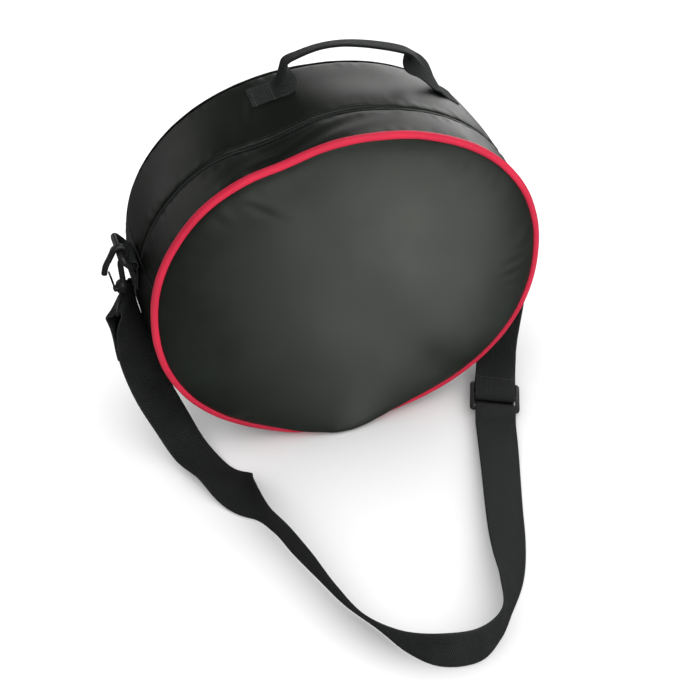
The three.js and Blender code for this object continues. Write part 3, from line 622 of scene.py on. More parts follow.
@effect("Woven cloth", {"Vector": None, "Threads per metre": 1900.0}, ("Height", "Tone", "Dust"))
def woven_cloth(nodes):
    """Plain weave: fine height, a slow change of tone and a dust mask."""
    slub_share = 0.8
    place = nodes.given["Vector"]
    waves_per_metre = nodes.calc("DIVIDE", nodes.given["Threads per metre"], 2)
    weft, warp = [nodes.wave(way, waves_per_metre) for way in nodes.parted(place)]
    weave = nodes.calc("MULTIPLY_ADD", nodes.calc("MULTIPLY", weft, warp), 0.5, 0.5)
    slubs = nodes.speckle(place, scale=420, detail=2)
    specks = nodes.speckle(place, scale=1300, detail=2)
    nodes.give(Height=nodes.calc("MULTIPLY_ADD", slubs, slub_share, weave),
               Tone=nodes.speckle(place, scale=16, detail=5, roughness=0.6),
               Dust=nodes.remap(specks, low=0.7, high=0.78))


@effect("Webbing ribs", {"Vector": None, "Half width": 0.019, "Ribs per metre": 620.0}, ("Height", "Tone"))
def webbing_ribs(nodes):
    """Ribs across the webbing in slanting rows, with plain edges; the tone has painted shade in the
    grooves.
    """
    row, slant, cords_per_metre = 0.0024, 0.55, 1 / 0.0012
    # rib share: how much painted rib shade and light goes into the tone
    cord_share, rib_shade_share = 0.35, 0.28
    along, across = nodes.parted(nodes.given["Vector"])
    slanting = nodes.calc("MULTIPLY_ADD", nodes.calc("PINGPONG", across, row), slant, along)
    ribs = nodes.wave(slanting, nodes.given["Ribs per metre"])
    cords = nodes.calc("MULTIPLY", nodes.wave(across, cords_per_metre), cord_share)
    from_edge = nodes.calc("SUBTRACT", nodes.given["Half width"], nodes.calc("ABSOLUTE", across))
    middle = nodes.remap(from_edge, low=0.0006, high=0.002)
    slow = nodes.speckle(nodes.given["Vector"], scale=40, detail=4, roughness=0.6)
    # Tone follows the ribs: painted shade in the grooves and painted light on the crests, over the slow
    # random tone
    nodes.give(Height=nodes.calc("MULTIPLY_ADD", ribs, middle, cords),
               Tone=nodes.calc("MULTIPLY_ADD", ribs, rib_shade_share, slow))


@effect("Stitch row", {"Along": 0.0, "Across": 0.0, "Place": 0.0, "Per metre": 312.5, "Thread": 0.00035},
        ("Mask", "Height"))
def stitch_row(nodes):
    """A row of thread stitches along the first axis at one place of the second."""
    given = nodes.given
    off = nodes.calc("ABSOLUTE", nodes.calc("SUBTRACT", given["Across"], given["Place"]))
    near = nodes.calc("SUBTRACT", 1, nodes.calc("DIVIDE", off, given["Thread"]))
    body = nodes.calc("MAXIMUM", near, 0)
    dash = nodes.remap(nodes.wave(given["Along"], given["Per metre"]), low=-0.55, high=-0.2)
    nodes.give(Mask=nodes.calc("MULTIPLY", nodes.remap(body, low=0, high=0.35), dash),
               Height=nodes.calc("MULTIPLY", nodes.calc("SQRT", body), dash))


@effect("Handling wear", {"Vector": None}, ("Grain", "Scuff", "Roughness"))
def handling_wear(nodes):
    """Fine grain, scuffs and uneven gloss of moulded plastic and metal."""
    place = nodes.given["Vector"]
    cloud = nodes.speckle(place, scale=140, detail=5, roughness=0.65)
    nodes.give(Grain=nodes.speckle(place, scale=2600, detail=2),
               Scuff=nodes.remap(cloud, low=0.55, high=0.75),
               Roughness=nodes.remap(cloud, low=0.3, high=0.7, to_low=0.32, to_high=0.5))


# Materials


def shade(colour, factor):
    return (*(channel * factor for channel in colour), 1)


class Look(Nodes):
    """A material being put together: its shader's sockets and its coordinates."""

    def __init__(self, name):
        self.material = bpy.data.materials.new(name)
        self.material.use_nodes = True
        super().__init__(self.material.node_tree)
        self.shader = self.tree.nodes["Principled BSDF"].inputs
        self.places = self.add("ShaderNodeTexCoord").outputs

    def feed(self, **values):
        self.fit(self.shader, **values)

    def use(self, tree, **inputs):
        made = self.add("ShaderNodeGroup")
        made.node_tree = tree
        self.fit(made.inputs, **inputs)
        return made.outputs

    def mix(self, share, first, second):
        made = self.add("ShaderNodeMix")
        made.data_type = "RGBA"
        self.put(share, made.inputs["Factor"])
        self.put(first, made.inputs[6])
        self.put(second, made.inputs[7])
        return made.outputs[2]

    def toned(self, tone, tones, colour, dark, light):
        """The colour from a dark to a light shade, as a tone goes through its range."""
        return self.mix(self.remap(tone, *tones), shade(colour, dark), shade(colour, light))

    def dusted(self, colour, dust, share, speck):
        """A colour with specks of another one where a dust mask shows."""
        return self.mix(self.calc("MULTIPLY", dust, share), colour, speck)

    def bump(self, height, distance, strength, **before):
        """Normal of a height, over an earlier normal where one is given."""
        made = self.add("ShaderNodeBump")
        self.fit(made.inputs, Height=height, Distance=distance, Strength=strength, **before)
        return made.outputs["Normal"]

    def sew(self, colour, normal, thread, rows=(), bars=()):
        """Adds stitch lines along the piece (rows) and across it (bars) at places of its UV map."""
        x, y = self.parted(self.places["UV"])
        for along, across, spot in [(x, y, row) for row in rows] + [(y, x, bar) for bar in bars]:
            stitch = self.use(stitch_row(), Along=along, Across=across, Place=spot)
            colour = self.mix(stitch["Mask"], colour, thread)
            normal = self.bump(stitch["Height"], distance=0.0005, strength=0.9, Normal=normal)
        return colour, normal


def nylon_look(name, colour, rows=(), bars=()):
    """Coated nylon with a fine weave and stitch lines."""
    look = Look(name)
    cloth = look.use(woven_cloth(), Vector=look.places["UV"])
    tone = look.toned(cloth["Tone"], CLOTH_TONES, colour, dark=0.8, light=1.35)
    dusty = look.dusted(tone, cloth["Dust"], share=0.12, speck=shade(colour, 8))
    normal = look.bump(cloth["Height"], distance=0.00012, strength=0.35)
    sewn, normal = look.sew(dusty, normal, thread=shade(colour, 3.5), rows=rows, bars=bars)
    look.feed(Base_Color=sewn, Normal=normal, Specular_IOR_Level=0.2, Specular_Tint=(0.95, 1, 0.91, 1),
              Roughness=look.remap(cloth["Tone"], *CLOTH_TONES, to_low=0.37, to_high=0.47))
    return look.material


def piping_look(name, colour):
    """Coarser woven cover of the piping."""
    look = Look(name)
    cloth = look.use(woven_cloth(), Vector=look.places["UV"], Threads_per_metre=1100.0)
    tone = look.toned(cloth["Tone"], CLOTH_TONES, colour, dark=0.85, light=1.12)
    dusty = look.dusted(tone, cloth["Dust"], share=0.2, speck=shade(colour, 0.55))
    look.feed(Base_Color=dusty, Normal=look.bump(cloth["Height"], distance=0.0003, strength=0.5),
              Roughness=look.remap(cloth["Tone"], *CLOTH_TONES, to_low=0.42, to_high=0.58),
              Specular_IOR_Level=0.15)
    return look.material


def webbing_look(name, colour, half, bars=()):
    """Ribbed webbing with stitch lines across it."""
    look = Look(name)
    ribs = look.use(webbing_ribs(), Vector=look.places["UV"], Half_width=half)
    # the ribs' tone holds painted shade in the grooves and painted light on the crests
    tone = look.toned(ribs["Tone"], RIB_SHADE_AND_TONES, colour, dark=0.7, light=1.6)
    normal = look.bump(ribs["Height"], distance=0.0004, strength=0.9)
    sewn, normal = look.sew(tone, normal, thread=shade(colour, 6), bars=bars)
    look.feed(Base_Color=sewn, Normal=normal, Specular_IOR_Level=0.2,
              Roughness=look.remap(ribs["Tone"], *RIB_SHADE_AND_TONES, to_low=0.62, to_high=0.8))
    return look.material


def hard_look(name, colour, metallic):
    """Moulded plastic or dark metal with scuffs."""
    look = Look(name)
    wear = look.use(handling_wear(), Vector=look.places["Object"])
    look.feed(Base_Color=look.mix(wear["Scuff"], shade(colour, 1), shade(colour, 2)),
              Roughness=wear["Roughness"], Normal=look.bump(wear["Grain"], distance=0.00008, strength=0.35),
              Metallic=metallic, Specular_IOR_Level=0.35)
    return look.material


def floor_look(name, colour):
    look = Look(name)
    wear = look.use(handling_wear(), Vector=look.places["Object"])
    look.feed(Base_Color=look.mix(wear["Scuff"], shade(colour, 1), shade(colour, 0.995)),
              Roughness=0.75, Specular_IOR_Level=0.1)
    return look.material


def look_of(kind, context):
    """The plain nylon, the plastic or the metal that pieces share, made once."""
    if kind not in bpy.data.materials:
        colour = getattr(context.scene.bag_colours, kind)
        if kind == "nylon":
            nylon_look(kind, colour)
        else:
            hard_look(kind, colour, metallic=1.0 if kind == "metal" else 0.0)
    return bpy.data.materials[kind]


# Operators


class BAG_OT_stage(bpy.types.Operator):
    """Floor, lights and camera"""

    bl_idname = "regulator_bag.stage"
    bl_label = "Stage"

    SENSOR = 36
    FLOOR_SIZE = 8
    SUN_AT = (0, 0, 3)
    SUN_SPREAD = 2.4
    BAG_MIDDLE = (0, 0, 0.16)
    # Soft lights that face the bag: place, and size across and up
    LIGHTS = {
        "key": ((0.95, -1.0, 0.35), (1.2, 1.2)),
        "rim": ((0.8, 1.08, 0.53), (1.4, 1.4)),
        "fill": ((-0.05, -1.35, 0.55), (0.9, 0.7)),
        "top": ((0.2, -0.5, 1.4), (1, 1)),
        "left": ((-0.95, 0.9, 0.6), (1.3, 1)),
        "bounce": ((0.38, -0.88, -0.22), (0.5, 1.1)),
    }

    def execute(self, context):
        settings = context.scene.bag_stage
        deselect()
        self.set_camera(context, settings)
        floor = self.lay_floor(context, settings)
        sun = self.add_light("overhead", "SUN", self.SUN_AT, (0, 0, 0), settings.overhead)
        sun.data.angle = self.SUN_SPREAD
        self.reach(sun, floor, "INCLUDE")
        for name, (place, size) in self.LIGHTS.items():
            light = self.add_light(name, "AREA", place, self.BAG_MIDDLE, getattr(settings, name))
            light.data.shape = "ELLIPSE"
            light.data.size, light.data.size_y = size
            light.data.use_shadow = name != "bounce"
            self.reach(light, floor, "EXCLUDE")
        world = bpy.data.worlds.new("room")
        world.use_nodes = True
        background = world.node_tree.nodes["Background"].inputs
        background["Color"].default_value = (1, 1, 1, 1)
        background["Strength"].default_value = settings.room
        context.scene.world = world
        context.scene.view_settings.view_transform = "Standard"
        deselect()
        return {"FINISHED"}

    def facing(self, place, aim):
        return (Vector(aim) - Vector(place)).to_track_quat("-Z", "Y").to_euler()

    def set_camera(self, context, settings):
        bpy.ops.object.camera_add(location=settings.camera)
        camera = context.object
        camera.name = "camera"
        camera.rotation_euler = self.facing(settings.camera, settings.aim)
        camera.data.lens = settings.lens
        camera.data.sensor_width = self.SENSOR
        camera.data.dof.use_dof = False
        context.scene.camera = camera

    def lay_floor(self, context, settings):
        bpy.ops.mesh.primitive_plane_add(size=self.FLOOR_SIZE, location=(0, 0, 0))
        floor = context.object
        floor.name = "floor"
        floor.data.materials.append(floor_look("floor", settings.floor))
        floor.visible_glossy = False
        return floor

    def add_light(self, name, kind, place, aim, power):
        bpy.ops.object.light_add(type=kind, location=place)
        light = bpy.context.object
        light.name = name
        light.data.energy = power
        light.rotation_euler = self.facing(place, aim)
        light.visible_camera = False
        return light

    def reach(self, light, floor, state):
        """Lets a light fall on the floor alone, or on everything but the floor."""
        receivers = bpy.data.collections.new(f"{light.name} receivers")
        receivers.objects.link(floor)
        receivers.collection_objects[0].light_linking.link_state = state
        light.light_linking.receiver_collection = receivers


class BAG_OT_strap(bpy.types.Operator):
    """Shoulder strap in one length, laid on the floor"""

    bl_idname = "regulator_bag.strap"
    bl_label = "Strap"

    STEP = 0.003  # between two stations
    LAYER = 0.002  # from layer to layer where the webbing is doubled
    BAR_TURN = 0.0029  # radius of the turn round a loop's bar
    SETTLE = 0.026  # run over which the doubled layers close up behind a bar
    TAIL = 0.052  # length of the sewn tail on the left
    BULGE, BULGE_AT = 0.009, 0.011  # reach of the tail's loose loop, and its distance from the bar
    WRAP = 0.0032  # radius of the turn round the triglide's bar
    LOOSE_END = 0.007  # from the triglide's bar to the end of the webbing
    TAIL_STITCHES = (0.005, 0.012)
    GLIDE_STITCH = 0.0215  # from the triglide's bar to the stitches behind it

    def execute(self, context):
        webbing = context.scene.bag_webbing
        self.line, self.stations = StrapLine(), []
        length = self.line.length
        weave_from, weave_to = (self.line.glide + row[0] for row in (WEAVE[0], WEAVE[-1]))
        self.run(self.TAIL, 0, lambda d: -self.doubled(d) - self.bulge(d))
        self.turn(0, -1)
        self.run(0, weave_from, lambda d: 0)
        self.weave(WEAVE)
        self.run(weave_to, length, lambda d: -self.doubled(length - d))
        self.turn(length, 1)
        self.run(length, weave_to, lambda d: 0)
        self.weave(WEAVE_BACK)
        self.wrap()
        points = [point for point, _ in self.stations]
        piece = lay_webbing("strap_webbing", points, 12, webbing.strap, webbing.thick,
                            lambda i, far: points[i] + self.stations[i][1] * far)
        look = webbing_look("strap webbing", context.scene.bag_colours.webbing, webbing.strap / 2,
                            (*self.TAIL_STITCHES, self.stitch_place(points)))
        finish(piece, look, "black_webbing", "strap")
        return {"FINISHED"}

    def stitch_place(self, points):
        """Length of webbing up to the stitches that hold its end behind the triglide."""
        middle = self.line.at(self.line.glide)[0]
        far = [(point - middle).length > self.GLIDE_STITCH for point in points]
        return running(points)[len(far) - 1 - far[::-1].index(True)]

    def doubled(self, distance):
        return self.LAYER + (2 * self.BAR_TURN - self.LAYER) * settle(distance, self.SETTLE)

    def bulge(self, distance):
        """Reach of the loose loop under the left swivel."""
        share = distance / self.BULGE_AT
        return self.BULGE * (share * math.exp(1 - share)) ** 2

    def run(self, low, high, lift):
        """Stations from one distance to another, each lifted off the middle line."""
        steps = max(2, round(abs(high - low) / self.STEP))
        first = 1 if self.stations else 0
        for distance in spread(low, high, steps)[first:-1]:
            point, _, across, face = self.line.at(distance)
            self.stations.append((point + face * lift(distance), across))

    def turn(self, distance, beyond):
        """Half a turn round the bar at one end of the line."""
        point, run, across, face = self.line.at(distance)
        bar = point - face * self.BAR_TURN
        for turned in spread(180, 0, 10):
            self.stations.append((bar + spoke(face, run * beyond, turned) * self.BAR_TURN, across))

    def weave(self, rows):
        """Over and under the triglide, by distance from its bar and lift."""
        for spot in smooth_line([(*row, 0) for row in rows], 4):
            point, _, across, face = self.line.at(self.line.glide + spot.x)
            self.stations.append((point + face * spot.y, across))

    def wrap(self):
        """Round the triglide's bar to the loose end."""
        point, run, across, face = self.line.at(self.line.glide)
        for turned in spread(90, 270, 10):
            self.stations.append((point + spoke(run, face, turned) * self.WRAP, across))
        self.stations.append((point + run * self.LOOSE_END - face * self.WRAP, across))


class BAG_OT_panels(bpy.types.Operator):
    """Padded front and back panels"""

    bl_idname = "regulator_bag.panels"
    bl_label = "Panels"

    # Way that a panel faces, tuck and inset of its seam, rise of its padding, its crown and its low edge,
    # and droop of its low edge
    PANELS = {
        "front_panel": (-1, 0.0005, 0.0028, 0.012, 0.008, 0.012, 0.025),
        "back_panel": (1, 0.0002, 0.0034, 0.008, 0.006, 0, 0),
    }
    GRID = (320, 64)  # round the panel, and from its middle to the seam
    GATHER = 1.6  # power that gathers the rows at the seam
    LOWEST = 0.0077  # height of the seam over the floor
    LOW_X = (-0.008, 0.045)
    # Powers of the share of the way to the seam, and of what is free of the seam's hold
    HOLD, PUFF, CROWN, LOW_PUFF, DROOP = 24, (5, 0.6), 2, (6, 0.5), (8, 1.2)
    WAVE, WAVE_RUN, WAVE_CALM = 0.0006, 0.06, 12
    PUCKER_SCALE, PUCKER_AT = 14, (0.05, 0.05)
    # Crease at the upper left: its place and way, then height, run and width of its dip and its ridge
    CREASE_X, CREASE_Z, CREASE_WAY = -0.080, 0.266, (0.86, -0.5)
    CREASE = ((-0.0005, (0, 0.017), (0, 0.0035)), (0.0004, (0, 0.02), (0.007, 0.005)))
    GATHERS, GATHERS_PITCH, GATHERS_X, GATHERS_Z = 0.0011, 0.0022, (0.155, 0.014), (0.153, 0.014)

    def execute(self, context):
        self.form = BagForm(context.scene.bag_sizes)
        for name, values in self.PANELS.items():
            piece = self.panel(f"{name}_cloth", *values)
            thicken(piece, context.scene.bag_sizes.cloth, -1)
            finish(piece, look_of("nylon", context), "black_nylon", name)
            if name == "front_panel":
                bpy.data.collections["bounce receivers"].objects.link(piece)
        return {"FINISHED"}

    def panel(self, name, side, tuck, inset, puff, crown, low_puff, droop):
        """Domed sheet from the middle of a panel to its seam."""
        form = self.form
        seam = (form.front if side < 0 else form.back) - side * tuck

        def place(u, v):
            angle = 2 * math.pi * u
            share = 1 - (1 - v) ** self.GATHER
            edge = form.rim(angle, seam, inset, self.LOWEST)
            low = max(0, -math.sin(angle)) * bell(edge.x, *self.LOW_X)
            free = 1 - share ** self.HOLD
            rise = puff * (1 - share ** self.PUFF[0]) ** self.PUFF[1] + crown * (1 - share ** self.CROWN)
            rise += low_puff * low * share ** self.LOW_PUFF[0] * free ** self.LOW_PUFF[1]
            x = edge.x * share
            z = form.middle + (edge.z - form.middle) * share
            z -= droop * low * share ** self.DROOP[0] * free ** self.DROOP[1]
            return Vector((x, seam + side * (rise + self.folds(side, x, z, angle, share)), z))

        def measure(u, v):
            spot = place(u, v)
            return spot.x, spot.z

        return lay_grid(name, *self.GRID, place, measure, weld=True, flip=side > 0)

    def folds(self, side, x, z, angle, share):
        """Height of the creases, puckers and soft waves at a place of the panel."""
        calm = 1 - share ** self.WAVE_CALM
        out = self.WAVE * ripple(x / self.WAVE_RUN, z / self.WAVE_RUN, side) * calm
        puckers = ripple_round(angle, self.PUCKER_SCALE, side + 4) * bell(1 - share, *self.PUCKER_AT)
        out += self.form.pucker * puckers
        if side > 0:
            return out
        right, up = self.CREASE_WAY
        along = (x - self.CREASE_X) * right + (z - self.CREASE_Z) * up
        across = (z - self.CREASE_Z) * right - (x - self.CREASE_X) * up
        out += sum(high * bell(along, *run) * bell(across, *width) for high, run, width in self.CREASE)
        gathers = math.sin(z / self.GATHERS_PITCH) * bell(x, *self.GATHERS_X) * bell(z, *self.GATHERS_Z)
        return out + self.GATHERS * gathers * calm


class BAG_OT_gusset(bpy.types.Operator):
    """Strips of the gusset: beside the zip, and round the sides and base"""

    bl_idname = "regulator_bag.gusset"
    bl_label = "Gusset"

    LIP = 0.0024  # from the zip's middle to the strips beside it
    TUCK = 0.0008  # from the seams to the strips
    LAP = 0.003  # angle by which the base band laps the strips beside the zip
    ZIP_STITCH = 0.0035  # from the zip's lip to the stitches beside it
    CROWN, ZIP_DIP, SEAM_DIP, DIP_HALF = 0.0009, 0.0008, 0.0022, 0.0022
    ZIP_END, BASE_END, END_HALF = -0.0012, 0.00024, 0.002
    PUCKER_RUN, PUCKER_DEPTH, PUCKER_AT = 0.007, 0.03, (0.005, 0.006)
    WAVE, WAVE_RUN, WAVE_DEPTH, WAVE_FROM = 0.0009, 0.05, 0.04, 0.01
    FOLD_FROM = 0.004  # from a strip's edge to its full folds
    FRONT_FOLD, FRONT_RUN, FRONT_DEPTH, FRONT_X = 0.0007, 0.011, 0.003, (-0.04, 0.05)
    DENT, DENT_X, DENT_Y = 0.003, (-0.07, 0.016), (-0.050, 0.006)
    # Ridge and dip behind the zip: height, then middle and half width, slanting with the depth
    BACK_FOLDS = ((0.0009, (-0.058, 0.006)), (-0.0009, (-0.069, 0.007)))
    BACK_SLANT, SLANT_FROM, BACK_Y = 0.28, 0.027, (0.026, 0.03)

    def execute(self, context):
        form = self.form = BagForm(context.scene.bag_sizes)
        colour = context.scene.bag_colours.nylon
        front, back = form.front + self.TUCK, form.back - self.TUCK
        top = (form.seam_angle, math.pi - form.seam_angle)
        base = (top[1] - self.LAP, 2 * math.pi + top[0] + self.LAP)
        bars = [angle * RUN_PER_RADIAN for angle in (base[0] + self.LAP * 2, base[1] - self.LAP * 2)]
        banded = nylon_look("zip band nylon", colour, rows=(-self.ZIP_STITCH, self.ZIP_STITCH))
        based = nylon_look("base band nylon", colour, bars=bars)
        # Each strip: its angles, its edges in depth, which of them is at the zip, its grid and its look
        strips = {
            "front_zip_band": (top, lambda a: (front, form.zip_middle(a) - self.LIP), 1, (360, 22), banded),
            "back_zip_band": (top, lambda a: (form.zip_middle(a) + self.LIP, back), 0, (360, 36), banded),
            "base_band": (base, lambda a: (front, back), None, (420, 48), based),
        }
        for name, (angles, edges, zip_edge, grid, look) in strips.items():
            piece = self.strip(name, *angles, edges, zip_edge, grid)
            thicken(piece, context.scene.bag_sizes.cloth, -1)
            finish(piece, look, "black_nylon", name)
        return {"FINISHED"}

    def strip(self, name, start, stop, edges, zip_edge, grid):
        end_lift = self.BASE_END if zip_edge is None else self.ZIP_END

        def place(u, v):
            angle = start + (stop - start) * u
            low, high = edges(angle)
            y = low + (high - low) * v
            from_edge = min(v, 1 - v) * (high - low)
            from_end = min(u, 1 - u) * (stop - start) * RUN_PER_RADIAN
            at_zip = zip_edge is not None and abs(v - zip_edge) < 0.5
            lift = self.CROWN * (1 - abs(2 * v - 1) ** 4)
            lift -= (self.ZIP_DIP if at_zip else self.SEAM_DIP) * bell(from_edge, 0, self.DIP_HALF)
            lift += end_lift * bell(from_end, 0, self.END_HALF)
            return self.form.gusset(angle, y, lift + self.folds(name, angle, y, from_edge))

        def measure(u, v):
            angle = start + (stop - start) * u
            low, high = edges(angle)
            return angle * RUN_PER_RADIAN, (high - low) * (v - (zip_edge or 0))

        return lay_grid(f"{name}_cloth", *grid, place, measure, flip=True)

    def folds(self, name, angle, y, from_edge):
        """Height of the puckers and folds at a place of a strip."""
        x, z, _, _ = self.form.edge(angle)
        run = angle * RUN_PER_RADIAN
        puckers = ripple(run / self.PUCKER_RUN, y / self.PUCKER_DEPTH, 2)
        out = self.form.pucker * puckers * bell(from_edge, *self.PUCKER_AT)
        waves = ripple(run / self.WAVE_RUN, y / self.WAVE_DEPTH, 6)
        out += self.WAVE * waves * min(1, from_edge / self.WAVE_FROM)
        if z < 0:
            return out
        folds = 0
        if name == "front_zip_band":
            swing = math.sin(run / self.FRONT_RUN + y / self.FRONT_DEPTH)
            folds = self.FRONT_FOLD * swing * bell(x, *self.FRONT_X)
            folds -= self.DENT * bell(x, *self.DENT_X) * bell(y, *self.DENT_Y)
        elif name == "back_zip_band":
            slanted = x + (self.SLANT_FROM - y) * self.BACK_SLANT
            folds = sum(high * bell(slanted, *at) for high, at in self.BACK_FOLDS) * bell(y, *self.BACK_Y)
        return out + folds * min(1, from_edge / self.FOLD_FROM)


class BAG_OT_piping(bpy.types.Operator):
    """Red piping round the front seam"""

    bl_idname = "regulator_bag.piping"
    bl_label = "Piping"

    SWELL = 0.04  # share by which its radius changes
    WANDER = 0.0004  # how far it strays from the seam

    def execute(self, context):
        form = BagForm(context.scene.bag_sizes)
        radius = context.scene.bag_sizes.piping
        stations = []
        for angle in spread(0, 2 * math.pi, 480)[:-1]:
            thick = radius * (1 + self.SWELL * ripple_round(angle, 9, 1))
            wander = self.WANDER * ripple_round(angle, 5, 2)
            centre = form.rim(angle, form.front + wander, -wander, radius)
            stations.append((centre, form.out(angle), DEPTH, thick, thick))
        piece = sweep("piping_cord", stations, 18, closed=True)
        look = piping_look("piping", context.scene.bag_colours.piping)
        finish(piece, look, "red_cord", "front_piping")
        return {"FINISHED"}


class BAG_OT_zip(bpy.types.Operator):
    """Zip tape, coil and slider"""

    bl_idname = "regulator_bag.zip"
    bl_label = "Zip"

    WIDTH, THICK = 0.011, 0.0008
    GRID = (260, 8)  # along the tape, and across it
    SUNK = 0.0019  # of the tape under the gusset's cloth
    END_GAP = 0.002  # angle from the side seams to the tape's ends
    PITCH = 0.0014
    TOOTH = (0.78 * PITCH, 0.0034, 0.0012)  # along, across and out of the tape
    TOOTH_SUNK, TOOTH_STEP, TOOTH_BEVEL = 0.0012, 0.0003, 0.22
    SLIDER_AT = 5.5  # degrees over the right side seam
    SLIDER_HALF = 0.0012
    # Slider and its pull, from front to back: depth, half height and lift
    SLIDER = ((-0.0045, 0.004, 0.0018), (-0.003, 0.006, 0.0022), (0.003, 0.006, 0.0022),
              (0.005, 0.0035, 0.0021), (0.007, 0.0025, 0.0019), (0.023, 0.003, 0.0019),
              (0.0275, 0.002, 0.0019))

    def execute(self, context):
        form = BagForm(context.scene.bag_sizes)
        low, high = form.seam_angle + self.END_GAP, math.pi - form.seam_angle - self.END_GAP

        def place(u, v):
            angle = low + (high - low) * u
            return form.gusset(angle, form.zip_middle(angle) + (v - 0.5) * self.WIDTH, -self.SUNK)

        def measure(u, v):
            return (low + (high - low) * u) * RUN_PER_RADIAN, (v - 0.5) * self.WIDTH

        tape = lay_grid("zip_tape", *self.GRID, place, measure, flip=True)
        thicken(tape, self.THICK, -1)
        look = webbing_look("zip tape", context.scene.bag_colours.webbing, self.WIDTH / 2)
        finish(tape, look, "zip_tape", "zip")
        finish(self.teeth(form, low, high), look_of("plastic", context), "black_plastic", "zip")
        finish(self.slider(form), look_of("metal", context), "dark_metal", "zip_slider")
        return {"FINISHED"}

    def teeth(self, form, low, high):
        """Closed coil: one bar after the other, each a small rounded block."""
        long, wide, tall = self.TOOTH
        count = round((high - low) * RUN_PER_RADIAN / self.PITCH)
        deselect()
        bpy.ops.mesh.primitive_cube_add(size=1)
        block = bpy.context.object
        modify(block, "BEVEL", width=self.TOOTH_BEVEL, segments=1)
        corners = [v.co.copy() for v in block.data.vertices]
        faces = [tuple(p.vertices) for p in block.data.polygons]
        bpy.data.objects.remove(block)
        points, polygons = [], []
        for i in range(count):
            angle = low + (high - low) * (i + 0.5) / count
            foot = form.gusset(angle, form.zip_middle(angle), -self.TOOTH_SUNK)
            foot += DEPTH * (self.TOOTH_STEP if i % 2 else -self.TOOTH_STEP)
            out = form.out(angle)
            run = DEPTH.cross(out)
            polygons += [tuple(len(points) + n for n in face) for face in faces]
            points += [foot + run * c.x * long + DEPTH * c.y * wide + out * c.z * tall for c in corners]
        mesh = bpy.data.meshes.new("zip_teeth")
        mesh.from_pydata(points, [], polygons)
        piece = bpy.data.objects.new("zip_teeth", mesh)
        bpy.context.collection.objects.link(piece)
        mend(piece, outwards=True)
        return piece

    def slider(self, form):
        angle = form.seam_angle + self.SLIDER_AT * DEGREE
        out = form.out(angle)
        middle = form.gusset(angle, form.zip_middle(angle))
        stations = [(middle + DEPTH * back + out * high, out.cross(DEPTH), out, tall, self.SLIDER_HALF)
                    for back, tall, high in self.SLIDER]
        return sweep("zip_pull", stations, 16, power=4.0)


class BAG_OT_handle(bpy.types.Operator):
    """Webbing handle, folded in half along the grip"""

    bl_idname = "regulator_bag.handle"
    bl_label = "Handle"

    MIDDLE = 0.037  # depth of its middle line
    LAYER = 0.0019  # from layer to layer where it is folded, and from the gusset to its feet
    FOLD_RADIUS = 0.002
    STEPS = 8
    ROW_STEP = 0.02  # spacing of the rows for the smooth change of fold and tilt
    LEFT_STITCHES = (0.004, 0.02)
    RIGHT_STITCHES = (0.004, 0.012)

    def execute(self, context):
        webbing = context.scene.bag_webbing
        half = webbing.handle / 2
        edges = self.edges(BagForm(context.scene.bag_sizes), half)
        middles = smooth_line([(a + b) / 2 for a, b in edges], self.STEPS)
        levels = smooth_line([(b - a).normalized() for a, b in edges], self.STEPS)
        shapes = smooth_line([(fold, tilt / 90, self.ROW_STEP * i)
                              for i, (_, _, fold, tilt) in enumerate(HANDLE_RUN)], self.STEPS)
        runs = headings(middles)

        def place(i, far):
            level = levels[i].normalized()
            upright = runs[i].cross(level).normalized()
            tilt = shapes[i].y * 90
            across, face = spoke(level, upright, tilt), spoke(upright, -level, tilt)
            fold = min(1, max(0, shapes[i].x))
            rise = self.LAYER / 2 * fold
            if far < 0:
                rise += far * math.sin(math.pi * fold)
                rise -= self.LAYER * fold * (1 - settle(-far, self.FOLD_RADIUS))
                far *= math.cos(math.pi * fold)
            return middles[i] + across * (far - half / 2 * fold) + face * rise

        piece = lay_webbing("handle_webbing", middles, 24, webbing.handle, webbing.thick, place)
        bars = [*self.LEFT_STITCHES, *(running(middles)[-1] - spot for spot in self.RIGHT_STITCHES)]
        look = webbing_look("handle webbing", context.scene.bag_colours.webbing, half, bars)
        finish(piece, look, "black_webbing", "handle")
        return {"FINISHED"}

    def edges(self, form, half):
        """Front and back edge of the flat webbing at each row of its run."""
        rows = []
        for x, z, _, _ in HANDLE_RUN:
            depths = (self.MIDDLE - half, self.MIDDLE + half)
            if z is None:
                rows.append([form.gusset(form.top_angle(x), y, self.LAYER) for y in depths])
            else:
                rows.append([Vector((x, y, z)) for y in depths])
        return rows


